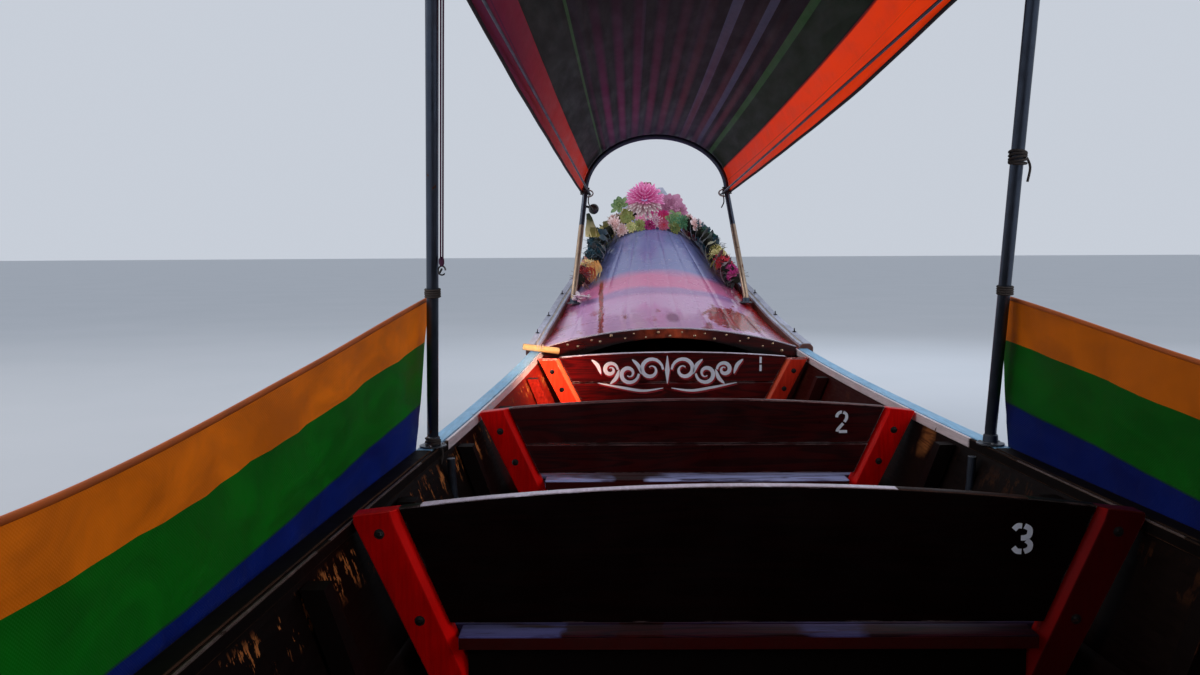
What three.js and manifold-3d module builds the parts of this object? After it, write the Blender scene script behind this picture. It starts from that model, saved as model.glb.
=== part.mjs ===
// Long-tail passenger boat: a planked wooden river boat with rows of numbered backrest boards,
// a cloth canopy on pipe hoops, and an engine on a turret at the stern that drives a propeller
// on a long tail. Millimetres, +Y to the bow, +X to starboard, +Z up.
// The origin is amidships on the centreline, at the waterline.

import * as THREE from 'three';
import { mergeVertices } from 'three/addons/utils/BufferGeometryUtils.js';
import Module from 'manifold-3d';

const wasm = await Module();
wasm.setup();

// Driving dimensions

const GAP = 0.3;             // clearance that separates touching pieces
const PLANK = 27;            // hull planking thickness
const BUTTS = [-2000, 2500];  // where the planking's lengths meet
const KEEL = 50;             // keel plank thickness
const WALE_DEPTH = 130;      // thicker top strake
const WALE_PROUD = 16;
const RIB = 36;              // rib depth, inward from the planking
const RIB_WIDTH = 45;
const RIB_PITCH = 500;
const FIRST_RIB = -5750;
const LAST_RIB = 4750;
const FLOOR_BOTTOM = -105;   // underside of the floorboards
const FLOOR_THICKNESS = 25;
const CAP = 25;              // gunwale cap thickness
const CAP_IN = 30;           // how far the cap reaches inside and outside the half beam
const CAP_OUT = 20;
const CAP_JOINT = 2560;      // where the light bow cap meets the dark one
const DECK_END = 4184;       // aft end of the foredeck and toe rails
const DECK_TIP = 6200;
const DECK_THICKNESS = 22;
const RAIL_OUT = 40;         // toe rail, outside and inside the half beam
const RAIL_IN = 10;
const RAIL_START = 42;       // height of the rail's aft end
const COAMING = 30;

const STILE_WIDTH = 78;
const STILE_THICKNESS = 42;
const BOARD_THICKNESS = 25;
const BENCH_DEPTH = 330;
const BENCH_THICKNESS = 24;
const BEARER = 60;

const PIPE = 13.5;           // outer radius of the canopy pipework
const RAIL_PIPE = 11;
const CLOTH = 6;

const STERN_DECK_TOP = 470;
const STERN_DECK_LOW = 440;
const STERN_DECK_FRONT = -5000;
const TURRET_Y = -5300;
const PIVOT_Z = 1000;        // height of the tilt pins
const TAIL_DROP = 18;        // degrees by which the shaft falls towards the propeller
const SHAFT_Z = 110;         // shaft line above the tilt pins
const TAIL_LENGTH = 4200;
const TAIL_RADIUS = 38;
const PROPELLER_RADIUS = 175;

// Hull lines, alike on both sides. keel is the underside of the bottom planks,
// full is how far the bilge bulges from a straight V side.
const HULL = [
  { y: -6250, beam: 770, sheer: 520, keel: -205, keelHalf: 120, full: 0.74 },
  { y: -5200, beam: 815, sheer: 485, keel: -240, keelHalf: 120, full: 0.74 },
  { y: -4000, beam: 850, sheer: 462, keel: -262, keelHalf: 120, full: 0.75 },
  { y: -2500, beam: 870, sheer: 444, keel: -270, keelHalf: 120, full: 0.75 },
  { y: -1000, beam: 865, sheer: 440, keel: -270, keelHalf: 120, full: 0.75 },
  { y: 500, beam: 825, sheer: 447, keel: -270, keelHalf: 120, full: 0.74 },
  { y: 2000, beam: 730, sheer: 466, keel: -270, keelHalf: 120, full: 0.66 },
  { y: 3000, beam: 632, sheer: 498, keel: -270, keelHalf: 118, full: 0.52 },
  { y: 4000, beam: 540, sheer: 550, keel: -255, keelHalf: 100, full: 0.32 },
  { y: 4600, beam: 492, sheer: 612, keel: -160, keelHalf: 78, full: 0.24 },
  { y: 5000, beam: 433, sheer: 718, keel: -30, keelHalf: 62, full: 0.2 },
  { y: 5400, beam: 337, sheer: 865, keel: 190, keelHalf: 48, full: 0.18 },
  { y: 5700, beam: 237, sheer: 1008, keel: 430, keelHalf: 40, full: 0.16 },
  { y: 6000, beam: 125, sheer: 1165, keel: 775, keelHalf: 32, full: 0.15 },
  { y: 6250, beam: 48, sheer: 1310, keel: 1215, keelHalf: 26, full: 0.15 },
];

// Foredeck camber, height of the crown above the deck's edge
const CAMBER = [
  { y: 4184, rise: 80 }, { y: 5000, rise: 104 }, { y: 5500, rise: 112 },
  { y: 5900, rise: 76 }, { y: 6200, rise: 30 },
];

// Passenger rows from the bow, heights above the gunwale cap. Row 1 is the breast board,
// and every other board has a bench in front of it.
const ROWS = [
  { y: 4000, crown: 20, ends: 2, seat: -185 },
  { y: 3000, crown: 38, ends: 16, seat: -183 },
  { y: 2000, crown: 61, ends: 24, seat: -201 },
  { y: 1000, crown: 62, ends: 25, seat: -205 },
  { y: 0, crown: 62, ends: 25, seat: -205 },
  { y: -1000, crown: 62, ends: 25, seat: -205 },
  { y: -2000, crown: 62, ends: 25, seat: -205 },
];

// Pipe hoops: foot on deck or cap, shoulder where the leg meets the arch, and crown
const HOOPS = [
  { name: 'front_hoop', footX: 400, footY: 4900, topX: 350, topY: 5250, topZ: 1270, crown: 1540 },
  { name: 'canopy_hoop_1', footX: 662, footY: 2600, topX: 575, topY: 2200, topZ: 1590, crown: 2000 },
  { name: 'canopy_hoop_2', footX: 838, footY: -100, topX: 700, topY: -300, topZ: 1625, crown: 2060 },
  { name: 'canopy_hoop_3', footX: 862, footY: -2800, topX: 710, topY: -2950, topZ: 1610, crown: 2040 },
];

// Canopy cloth over the hoops, on the same line as the hoops' pipes, slack between them
const CANOPY = [
  { y: 5330, half: 345, edge: 1262, crown: 1531 },
  { y: 5250, half: 350, edge: 1270, crown: 1540 },
  { y: 4300, half: 412, edge: 1345, crown: 1645 },
  { y: 3290, half: 480, edge: 1440, crown: 1790 },
  { y: 2200, half: 575, edge: 1590, crown: 2000 },
  { y: 950, half: 640, edge: 1598, crown: 2008 },
  { y: -300, half: 700, edge: 1625, crown: 2060 },
  { y: -1600, half: 702, edge: 1608, crown: 2032 },
  { y: -2950, half: 710, edge: 1610, crown: 2040 },
  { y: -3400, half: 705, edge: 1600, crown: 2022 },
];

// Side curtain, outer face: it is tied to the hoops' legs and sags between them,
// and it hangs outside the gunwale cap
const CURTAIN = [
  { y: 2475, topX: 656.4, topZ: 866, midX: 716, lowX: 722, lowZ: 410 },
  { y: 1900, topX: 752, topZ: 775, midX: 768, lowX: 774, lowZ: 378 },
  { y: 1200, topX: 826, topZ: 713, midX: 825, lowX: 832, lowZ: 360 },
  { y: 550, topX: 846, topZ: 762, midX: 856, lowX: 864, lowZ: 372 },
  { y: -165, topX: 814.8, topZ: 866, midX: 882, lowX: 888, lowZ: 400 },
  { y: -900, topX: 884, topZ: 752, midX: 897, lowX: 902, lowZ: 366 },
  { y: -1500, topX: 893, topZ: 716, midX: 902, lowX: 908, lowZ: 356 },
  { y: -2150, topX: 888, topZ: 756, midX: 904, lowX: 909, lowZ: 366 },
  { y: -2848, topX: 834.4, topZ: 866, midX: 903, lowX: 907, lowZ: 400 },
];

// Colours

const finish = (color, roughness, metalness = 0) =>
  new THREE.MeshStandardMaterial({ color, roughness, metalness });
const HULL_BROWN = finish(0x2a1512, 0.55);
const WALE_RED = finish(0x7a1f16, 0.4);
const MAHOGANY = finish(0x3a1310, 0.3);
const BRIGHT_RED = finish(0xc01008, 0.35);
const LIGHT_BLUE = finish(0x8fc3e6, 0.5);
const GREY_WHITE = finish(0xc9cdd6, 0.6);
const DECK_RED = finish(0x7c2630, 0.2);
const SEAT_WOOD = finish(0x9a5a4a, 0.25);
const FLOOR_WOOD = finish(0x4a352a, 0.7);
const PIPE_STEEL = finish(0x3c3b45, 0.45, 0.8);
const CANOPY_CLOTH = finish(0x8c3a2c, 0.6);
const CURTAIN_CLOTH = finish(0xd0661c, 0.6);
const FLOWERS = finish(0xd24b9a, 0.8);
const BAMBOO = finish(0xd9b45c, 0.5);
const TANK_PLASTIC = finish(0x2b4a9b, 0.4);
const PAINTED_STEEL = finish(0x2f3a44, 0.5, 0.6);
const CAST_IRON = finish(0x3f4a4d, 0.55, 0.7);
const RUSTY_STEEL = finish(0x5b4236, 0.75, 0.5);
const BRONZE = finish(0xa98449, 0.35, 0.9);

// Groups: what the turret turns, what the pins tilt, and what the shaft spins

const boat = new THREE.Group();
const turret = new THREE.Group();
turret.position.set(0, TURRET_Y, 0);
boat.add(turret);
const engineUnit = new THREE.Group();
engineUnit.position.set(0, 0, PIVOT_Z);
engineUnit.rotation.x = THREE.MathUtils.degToRad(TAIL_DROP);
turret.add(engineUnit);

function piece(name, geometry, material, parent = boat) {
  const mesh = new THREE.Mesh(geometry, material);
  mesh.name = name;
  parent.add(mesh);
  return mesh;
}

// Shape tools

const lerp = THREE.MathUtils.lerp;

// Smooth value of a table's column at y, through every row
function smooth(table, column, y) {
  const rows = table[0].y < table[table.length - 1].y ? table : [...table].reverse();
  let i = rows.findIndex((row) => row.y > y) - 1;
  if (i < -1) i = rows.length - 2;
  i = Math.max(0, Math.min(rows.length - 2, i));
  const slope = (k) => {
    const a = rows[Math.max(0, k - 1)];
    const b = rows[Math.min(rows.length - 1, k + 1)];
    return (b[column] - a[column]) / (b.y - a.y);
  };
  const [p, q] = [rows[i], rows[i + 1]];
  const h = q.y - p.y;
  const t = (y - p.y) / h;
  const rise = (2 * t ** 3 - 3 * t ** 2 + 1) * p[column] + (3 * t ** 2 - 2 * t ** 3) * q[column];
  return rise + h * ((t ** 3 - 2 * t ** 2 + t) * slope(i) + (t ** 3 - t ** 2) * slope(i + 1));
}

// Closed solid through rings of points, each in order round its section. The ends are closed
// by rungs across the ring, from its first and last points inwards.
function loft(rings) {
  const count = rings[0].length;
  const triangles = [];
  for (let r = 0; r + 1 < rings.length; r++) {
    for (let i = 0; i < count; i++) {
      const j = (i + 1) % count;
      const [a, b] = [r * count + i, r * count + j];
      const [c, d] = [a + count, b + count];
      triangles.push([a, b, d], [a, d, c]);
    }
  }
  const last = (rings.length - 1) * count;
  for (const [start, ahead] of [[0, false], [last, true]]) {
    for (let i = 0; i + 1 <= count - 2 - i; i++) {
      const [a, b, c, d] = [i, i + 1, count - 2 - i, count - 1 - i].map((k) => k + start);
      triangles.push(ahead ? [a, b, d] : [b, a, d]);
      if (b !== c) triangles.push(ahead ? [b, c, d] : [c, b, d]);
    }
  }
  return solid(rings.flat(), triangles);
}

// Geometry from points and triangles, turned so that its faces look out
function solid(points, triangles) {
  let volume = 0;
  for (const [a, b, c] of triangles) {
    const [p, q, r] = [a, b, c].map((k) => new THREE.Vector3(...points[k]));
    volume += p.dot(q.cross(r));
  }
  const order = volume > 0 ? triangles : triangles.map(([a, b, c]) => [a, c, b]);
  const geometry = new THREE.BufferGeometry();
  geometry.setAttribute('position', new THREE.Float32BufferAttribute(points.flat(), 3));
  geometry.setIndex(order.flat());
  return geometry;
}

// Plate with its outline in the X-Z plane, from y to y + thickness
function plate(outline, y, thickness) {
  const shape = new THREE.Shape(outline.map(([x, z]) => new THREE.Vector2(x, z)));
  const geometry = new THREE.ExtrudeGeometry(shape, { depth: thickness, bevelEnabled: false });
  return geometry.rotateX(Math.PI / 2).translate(0, y + thickness, 0);
}

// Slab with its outline in the X-Y plane, from z to z + thickness
function slab(outline, z, thickness) {
  const shape = new THREE.Shape(outline.map(([x, y]) => new THREE.Vector2(x, y)));
  const geometry = new THREE.ExtrudeGeometry(shape, { depth: thickness, bevelEnabled: false });
  return geometry.translate(0, 0, z);
}

const box = (x0, x1, y0, y1, z0, z1) => new THREE.BoxGeometry(x1 - x0, y1 - y0, z1 - z0)
  .translate((x0 + x1) / 2, (y0 + y1) / 2, (z0 + z1) / 2);

// Round bar along X, Y or Z from one end to the other
function rod(axis, radius, from, to, centre, sides = 16) {
  const geometry = new THREE.CylinderGeometry(radius, radius, to - from, sides);
  if (axis === 'x') geometry.rotateZ(-Math.PI / 2);
  if (axis === 'z') geometry.rotateX(Math.PI / 2);
  const middle = (from + to) / 2;
  const [u, v] = centre;
  if (axis === 'x') return geometry.translate(middle, u, v);
  if (axis === 'y') return geometry.translate(u, middle, v);
  return geometry.translate(u, v, middle);
}

// Route through listed points, which a section follows point by point
class Route extends THREE.Curve {
  constructor(points) {
    super();
    this.points = points.map((p) => new THREE.Vector3(...p));
  }

  getPoint(t) {
    const last = this.points.length - 1;
    const i = Math.min(last - 1, Math.floor(t * last));
    return this.points[i].clone().lerp(this.points[i + 1], t * last - i);
  }

  getUtoTmapping(u) {
    return u;
  }
}

// Round bar or pipe along a route, closed at both ends
function pipe(points, radius, sides = 8) {
  const corners = [];
  for (let i = 0; i < sides; i++) {
    const angle = (2 * Math.PI * (i + 0.5)) / sides;
    corners.push(new THREE.Vector2(radius * Math.cos(angle), radius * Math.sin(angle)));
  }
  return new THREE.ExtrudeGeometry(new THREE.Shape(corners), {
    steps: points.length - 1, extrudePath: new Route(points), bevelEnabled: false,
  });
}

function toManifold(geometry) {
  const bare = geometry.clone();
  bare.deleteAttribute('normal');
  bare.deleteAttribute('uv');
  const merged = mergeVertices(bare, 1e-4);
  return new wasm.Manifold(new wasm.Mesh({
    numProp: 3,
    vertProperties: new Float32Array(merged.attributes.position.array),
    triVerts: new Uint32Array(merged.index.array),
  }));
}

function fromManifold(manifold) {
  const { vertProperties, triVerts } = manifold.getMesh();
  const geometry = new THREE.BufferGeometry();
  geometry.setAttribute('position', new THREE.BufferAttribute(new Float32Array(vertProperties), 3));
  geometry.setIndex(Array.from(triVerts));
  return geometry;
}

const fuse = (...parts) => fromManifold(parts.map(toManifold).reduce((all, one) => all.add(one)));
const cut = (part, tool) => fromManifold(toManifold(part).subtract(toManifold(tool)));

const mirrored = (outline) => [...outline, ...outline.map(([x, z]) => [-x, z]).reverse()];

// Hull sections

const STATIONS = [-6250];
for (let y = -6000; y < 4000; y += 500) STATIONS.push(y);
for (let y = 4000; y < 5500; y += 250) STATIONS.push(y);
STATIONS.push(5500, 5700, 5900, 6050, 6150, 6250);

const SIDE_STEPS = 7;
const BILGE_RISE = 0.068;    // how high the bilge's turn lies, of the hull's depth

// Side of the hull at a station: a curve from keel to sheer, and the inner line behind it,
// which keeps the planks' thickness and stays outside the keel
function sideLines(y) {
  const [beam, sheer, keel, keelHalf, full] = ['beam', 'sheer', 'keel', 'keelHalf', 'full']
    .map((column) => smooth(HULL, column, y));
  const start = new THREE.Vector2(keelHalf + GAP, keel);
  const turn = new THREE.Vector2(lerp(keelHalf, beam, full), lerp(keel, sheer, BILGE_RISE));
  const end = new THREE.Vector2(beam, sheer);
  const bottom = turn.clone().sub(start).normalize();
  const side = end.clone().sub(turn).normalize();
  const share = PLANK / (1 + bottom.dot(side));
  const clear = (x, z) => new THREE.Vector2(Math.max(start.x, x), Math.min(z, sheer - 2));
  const innerStart = clear(start.x, keel + Math.min(PLANK / bottom.x, 0.6 * (sheer - keel)));
  const innerTurn = clear(turn.x - share * (bottom.y + side.y), turn.y + share * (bottom.x + side.x));
  innerTurn.y = Math.max(innerTurn.y, innerStart.y + 3);
  const innerEnd = new THREE.Vector2(Math.max(start.x, beam - PLANK / side.y), sheer);
  const points = (...corners) =>
    new THREE.QuadraticBezierCurve(...corners).getPoints(SIDE_STEPS).map((p) => [p.x, p.y]);
  const [outer, inner] = [points(start, turn, end), points(innerStart, innerTurn, innerEnd)];
  const wale = Math.min(WALE_DEPTH, 0.5 * (sheer - keel));
  return { outer, inner, beam, sheer, keel, keelHalf, wale };
}

const SIDES = STATIONS.map(sideLines);

// Straight between the stations, as the planking is
function sideAt(y) {
  let i = STATIONS.findIndex((station) => station > y) - 1;
  if (i < -1) i = STATIONS.length - 2;
  i = Math.max(0, i);
  const t = (y - STATIONS[i]) / (STATIONS[i + 1] - STATIONS[i]);
  const [a, b] = [SIDES[i], SIDES[i + 1]];
  const mixLine = (p, q) => p.map(([x, z], k) => [lerp(x, q[k][0], t), lerp(z, q[k][1], t)]);
  const mixed = { outer: mixLine(a.outer, b.outer), inner: mixLine(a.inner, b.inner) };
  for (const key of ['beam', 'sheer', 'keel', 'keelHalf', 'wale']) mixed[key] = lerp(a[key], b[key], t);
  return mixed;
}

const capTop = (y) => sideAt(y).sheer + GAP + CAP;

function widthAt(line, z) {
  const i = Math.max(0, Math.min(line.length - 2, line.findIndex((p) => p[1] > z) - 1));
  const [a, b] = [line[i], line[i + 1]];
  return lerp(a[0], b[0], (z - a[1]) / (b[1] - a[1]));
}

const insideWidth = (y, z) => widthAt(sideAt(y).inner, z);

// Inner line moved further in, as the face of a rib
function ribLine(y, depth) {
  const { inner } = sideAt(y);
  return inner.map(([x, z], k) => {
    const [before, after] = [inner[Math.max(0, k - 1)], inner[Math.min(SIDE_STEPS, k + 1)]];
    const along = new THREE.Vector2(after[0] - before[0], after[1] - before[1]).normalize();
    return [x - depth * along.y, z + depth * along.x];
  });
}

// Smallest rib width between two places at a height
const ribWidth = (y0, y1, z) =>
  Math.min(...[y0, (y0 + y1) / 2, y1].map((y) => widthAt(ribLine(y, RIB + 1), z)));

// Places from one end to the other, with the stations between
const between = (y0, y1) => [y0, ...STATIONS.filter((y) => y > y0 + 20 && y < y1 - 20), y1];

// Hull

// Planking of one side from one butt joint to the next, with the thicker wale along its top
function planking(side, from, to) {
  const rings = between(from, to).map((y) => {
    const { outer, inner, beam, sheer, wale } = sideAt(y);
    const lip = sheer - wale;
    const wall = widthAt(outer, lip);
    const below = [];
    for (let i = 0; i < SIDE_STEPS; i++) {
      const z = lerp(outer[0][1], lip, (i / SIDE_STEPS) ** 1.7);
      below.push([i === 0 ? outer[0][0] : widthAt(outer, z), z]);
    }
    const ring = [...below, [wall, lip], [wall + WALE_PROUD, lip + 6],
      [beam + WALE_PROUD, sheer], ...[...inner].reverse()];
    return ring.map(([x, z]) => [side * x, y, z]);
  });
  return loft(rings);
}

for (const [word, side] of [['port', -1], ['starboard', 1]]) {
  piece(`planking_bow_${word}`, planking(side, BUTTS[1] + GAP, STATIONS[STATIONS.length - 1]), HULL_BROWN);
  piece(`planking_middle_${word}`, planking(side, BUTTS[0] + GAP, BUTTS[1]), HULL_BROWN);
  piece(`planking_stern_${word}`, planking(side, STATIONS[0], BUTTS[0]), HULL_BROWN);
}

function keelAndStem() {
  const rings = STATIONS.map((y, k) => {
    const { keel, keelHalf } = SIDES[k];
    const pitch = (smooth(HULL, 'keel', y + 5) - smooth(HULL, 'keel', y - 5)) / 10;
    const top = keel + KEEL * Math.hypot(1, pitch);
    return [[-keelHalf, y, keel - 10], [keelHalf, y, keel - 10], [keelHalf, y, top], [-keelHalf, y, top]];
  });
  const stemHead = [{ y: 6256, half: 26, low: 1222, top: 1368 }, { y: 6292, half: 22, low: 1300, top: 1392 }];
  for (const { y, half, low, top } of stemHead) {
    rings.push([[-half, y, low], [half, y, low], [half, y, top], [-half, y, top]]);
  }
  return loft(rings);
}

piece('keel_and_stem', keelAndStem(), WALE_RED);

const STERN = SIDES[0];
const TRANSOM = 40;
const transomSide = [[STERN.keelHalf, STERN.keel - 10], ...STERN.outer.slice(1, SIDE_STEPS),
  [STERN.beam + WALE_PROUD, STERN.sheer - 40], [STERN.beam + WALE_PROUD, STERN.sheer + CAP]];
piece('transom', plate(mirrored(transomSide), STATIONS[0] - TRANSOM - GAP, TRANSOM), WALE_RED);

const keelTop = (y) => {
  const pitch = (smooth(HULL, 'keel', y + 5) - smooth(HULL, 'keel', y - 5)) / 10;
  return sideAt(y).keel + KEEL * Math.hypot(1, pitch);
};
const floorLevel = (y) => Math.max(FLOOR_BOTTOM - GAP, keelTop(y) + RIB_WIDTH);

// Rib from planking to its inner face, fitted to the narrower of its two sides. The ribs under
// the stern deck end below it.
function rib(y) {
  const [aft, fore] = [y - RIB_WIDTH / 2, y + RIB_WIDTH / 2];
  const narrow = sideAt(fore).beam < sideAt(aft).beam ? fore : aft;
  const low = Math.max(keelTop(aft), keelTop(fore)) + 2;
  const underDeck = y < STERN_DECK_FRONT;
  const high = underDeck ? STERN_DECK_LOW - 1 : Math.min(sideAt(aft).sheer, sideAt(fore).sheer) - 6;
  const level = Math.max(floorLevel(aft), floorLevel(fore));
  const outline = (depth, from) => {
    const line = ribLine(narrow, depth);
    const points = line.filter(([, z]) => z > from + 4 && z < high - 4);
    return [[widthAt(line, from), from], ...points, [widthAt(line, high), high]];
  };
  const section = [...outline(1.2, low), ...outline(RIB, level).reverse()];
  return plate(mirrored(section), aft, RIB_WIDTH);
}

const ribs = [];
for (let y = FIRST_RIB; y <= LAST_RIB; y += RIB_PITCH) ribs.push(rib(y));
const keelson = loft([FIRST_RIB, -4000, -2500, -1000, 1000, 3000, 4000, 4400, LAST_RIB].map((y) => {
  const [low, high] = [keelTop(y) + 1.5, floorLevel(y) - 6];
  return [[-45, y, low], [45, y, low], [45, y, high], [-45, y, high]];
}));
piece('framing', fuse(...ribs, keelson), HULL_BROWN);

const FLOOR_ENDS = [-4960, 3800];
const floorStations = [FLOOR_ENDS[0], ...STATIONS.filter((y) => y > FLOOR_ENDS[0] && y < FLOOR_ENDS[1]),
  FLOOR_ENDS[1]];
piece('floorboards', loft(floorStations.map((y) => {
  const half = ribWidth(y, y, FLOOR_BOTTOM) - 14;
  const top = FLOOR_BOTTOM + FLOOR_THICKNESS;
  return [[-half, y, FLOOR_BOTTOM], [half, y, FLOOR_BOTTOM], [half, y, top], [-half, y, top]];
})), FLOOR_WOOD);

// Gunwale caps, toe rails, foredeck and coaming

function strip(side, y0, y1, section) {
  return loft(between(y0, y1).map((y) => section(y, sideAt(y)).map(([x, z]) => [side * x, y, z])));
}

const capSection = (y, { beam, sheer }) => [
  [beam - CAP_IN, sheer + GAP], [beam + CAP_OUT, sheer + GAP],
  [beam + CAP_OUT, sheer + GAP + CAP], [beam - CAP_IN, sheer + GAP + CAP],
];

// The rail thickens over its first stretch
function railSection(y, { beam, sheer, keelHalf }) {
  const height = lerp(RAIL_START, 55, THREE.MathUtils.smoothstep(y, DECK_END, 4600));
  const inside = Math.max(keelHalf + 2, beam - RAIL_IN);
  return [
    [inside, sheer + GAP], [beam + WALE_PROUD + 4, sheer + GAP],
    [beam + RAIL_OUT, sheer + 14], [beam + RAIL_OUT, sheer + height], [inside, sheer + height],
  ];
}

for (const [word, side] of [['port', -1], ['starboard', 1]]) {
  piece(`gunwale_aft_${word}`, strip(side, STATIONS[0], CAP_JOINT - GAP, capSection), MAHOGANY);
  piece(`gunwale_fore_${word}`, strip(side, CAP_JOINT, DECK_END - GAP, capSection), LIGHT_BLUE);
  piece(`toe_rail_${word}`, strip(side, DECK_END, 6240, railSection), GREY_WHITE);
}

const DECK_STEPS = 10;
const camber = (y) => smooth(CAMBER, 'rise', y);

// Height of the deck's upper face
function deckTop(x, y) {
  const { beam, sheer } = sideAt(y);
  const half = beam - RAIL_IN - GAP;
  return sheer + GAP + DECK_THICKNESS + camber(y) * (1 - (x / half) ** 2);
}

piece('foredeck', loft(between(DECK_END + GAP, DECK_TIP).map((y) => {
  const half = sideAt(y).beam - RAIL_IN - 2 * GAP;
  const upper = [];
  for (let i = 0; i <= DECK_STEPS; i++) {
    const x = lerp(-half, half, i / DECK_STEPS);
    upper.push([x, y, deckTop(x, y)]);
  }
  const lower = upper.map(([x, , z]) => [x, y, z - DECK_THICKNESS]).reverse();
  return [...upper, ...lower];
})), DECK_RED);

// The locker's mouth under the coaming
const MOUTH = { foot: 212, half: 182, top: 634 };

function coaming() {
  const back = DECK_END - COAMING - GAP;
  const half = sideAt(DECK_END).beam - CAP_IN - 1;
  const top = [];
  for (let i = 0; i <= DECK_STEPS / 2; i++) {
    const x = (half * i) / (DECK_STEPS / 2);
    top.push([x, deckTop(x, DECK_END) + 8]);
  }
  const low = sideAt(DECK_END).sheer - 62;
  const foot = insideWidth(DECK_END, low) - 1;
  const shoulder = insideWidth(DECK_END, sideAt(DECK_END).sheer - 8) - 1;
  const side = [...top, [shoulder, sideAt(DECK_END).sheer - 8], [foot, low],
    [MOUTH.foot, low + 46], [MOUTH.half, MOUTH.top - 6], [0, MOUTH.top]];
  const outline = [...side, ...side.slice(1, -1).map(([x, z]) => [-x, z]).reverse()];
  return plate(outline, back, COAMING);
}

piece('coaming', coaming(), WALE_RED);

// Passenger rows: a red frame, a board between its stiles, and a bench in front of the board

ROWS.forEach(({ y, crown, ends, seat }, index) => {
  const row = index + 1;
  const [back, front] = [y - STILE_THICKNESS / 2, y + STILE_THICKNESS / 2];
  const cap = capTop(y);
  const seatTop = cap + seat;
  const bearerTop = seatTop - BENCH_THICKNESS - GAP;
  const low = bearerTop - BEARER;
  const outerTop = sideAt(front).beam - CAP_IN - 0.8;
  const outerLow = insideWidth(front, low) - RIB - 2;
  const stileTop = cap + ends - 12;
  const innerTop = [outerTop - STILE_WIDTH, stileTop + 10];
  const innerLow = [outerLow - STILE_WIDTH, low];
  const inner = (z) => lerp(innerLow[0], innerTop[0], (z - low) / (innerTop[1] - low));
  const edge = Math.min(stileTop, cap);
  const stile = [[outerLow, low], [outerTop, edge], [outerTop, stileTop + 1], innerTop, innerLow];
  const flip = (outline) => outline.map(([x, z]) => [-x, z]);
  const reach = inner(low) + 20;
  const bearer = box(-reach, reach, back, front, low, bearerTop);
  const frame = fuse(plate(stile, back, STILE_THICKNESS), plate(flip(stile), back, STILE_THICKNESS), bearer);
  piece(`seat_frame_${row}`, frame, BRIGHT_RED);

  const boardLow = seatTop + 15;
  const boardEnd = cap + ends;
  const halfTop = innerTop[0] - 1;
  const arch = [];
  for (let i = 0; i <= 6; i++) {
    const x = (halfTop * i) / 6;
    arch.push([x, boardEnd + (crown - ends) * (1 - (x / halfTop) ** 2)]);
  }
  const boardSide = [...arch, [inner(boardLow) - 1, boardLow]];
  const board = [...boardSide, ...boardSide.slice(1).map(([x, z]) => [-x, z]).reverse()];
  piece(`backrest_${row}`, plate(board, y - BOARD_THICKNESS / 2, BOARD_THICKNESS), MAHOGANY);

  if (row === 1) return;
  const plankLow = seatTop - BENCH_THICKNESS;
  const benchFront = y + BENCH_DEPTH;
  const narrow = inner(plankLow) - 1.5;
  const wide = ribWidth(front, benchFront, plankLow);
  const notch = front + 1.5;
  const outline = [[narrow, y - 35], [narrow, notch], [wide, notch], [wide, benchFront]];
  const plank = slab(mirrored(outline), plankLow, BENCH_THICKNESS);
  const cleatLow = plankLow - 50;
  const cleatEnd = ribWidth(front, benchFront, cleatLow);
  const cleat = (side) => box(...[side * (cleatEnd - 32), side * cleatEnd].sort((a, b) => a - b),
    notch + 2, benchFront - 20, cleatLow, plankLow + 4);
  piece(`bench_${index}`, fuse(plank, cleat(-1), cleat(1)), SEAT_WOOD);
});

// Canopy pipework and cloth

const ARCH_STEPS = 14;

// Points of half an ellipse over the boat at y, moved outwards by offset
function archPoints(y, half, edge, crown, offset) {
  const points = [];
  for (let i = 0; i <= ARCH_STEPS; i++) {
    const angle = (Math.PI * i) / ARCH_STEPS;
    const [across, up] = [Math.cos(angle), Math.sin(angle)];
    const out = new THREE.Vector2(across / half, up / (crown - edge)).normalize();
    points.push([half * across + offset * out.x, y, edge + (crown - edge) * up + offset * out.y]);
  }
  return points;
}

for (const { name, footX, footY, topX, topY, topZ, crown } of HOOPS) {
  const onDeck = footY > DECK_END;
  const ground = onDeck ? deckTop(footX - PIPE, footY + PIPE) : capTop(footY + PIPE);
  const foot = ground + GAP;
  const leg = (side) => [[side * footX, footY, foot], [side * footX, footY, foot + 35]];
  const route = [...leg(1), ...archPoints(topY, topX, topZ, crown, 0), ...leg(-1).reverse()];
  piece(name, pipe(route, PIPE, 8), PIPE_STEEL);
}

for (const [word, side] of [['port', -1], ['starboard', 1]]) {
  const inward = 0.93 * (PIPE + RAIL_PIPE) + 0.6;
  const stops = HOOPS.map(({ topX, topY, topZ }) => [side * (topX - inward), topY, topZ - 10]);
  const [first, last] = [stops[0], stops[stops.length - 1]];
  const route = [[first[0], first[1] + 40, first[2]], ...stops, [last[0], last[1] - 420, last[2]]];
  piece(`canopy_rail_${word}`, pipe(route, RAIL_PIPE, 8), PIPE_STEEL);
}

piece('canopy', loft(CANOPY.map(({ y, half, edge, crown }) => {
  const inside = archPoints(y, half, edge, crown, PIPE + 0.8);
  const outside = archPoints(y, half, edge, crown, PIPE + 0.8 + CLOTH);
  return [...outside, ...inside.reverse()];
})), CANOPY_CLOTH);

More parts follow.
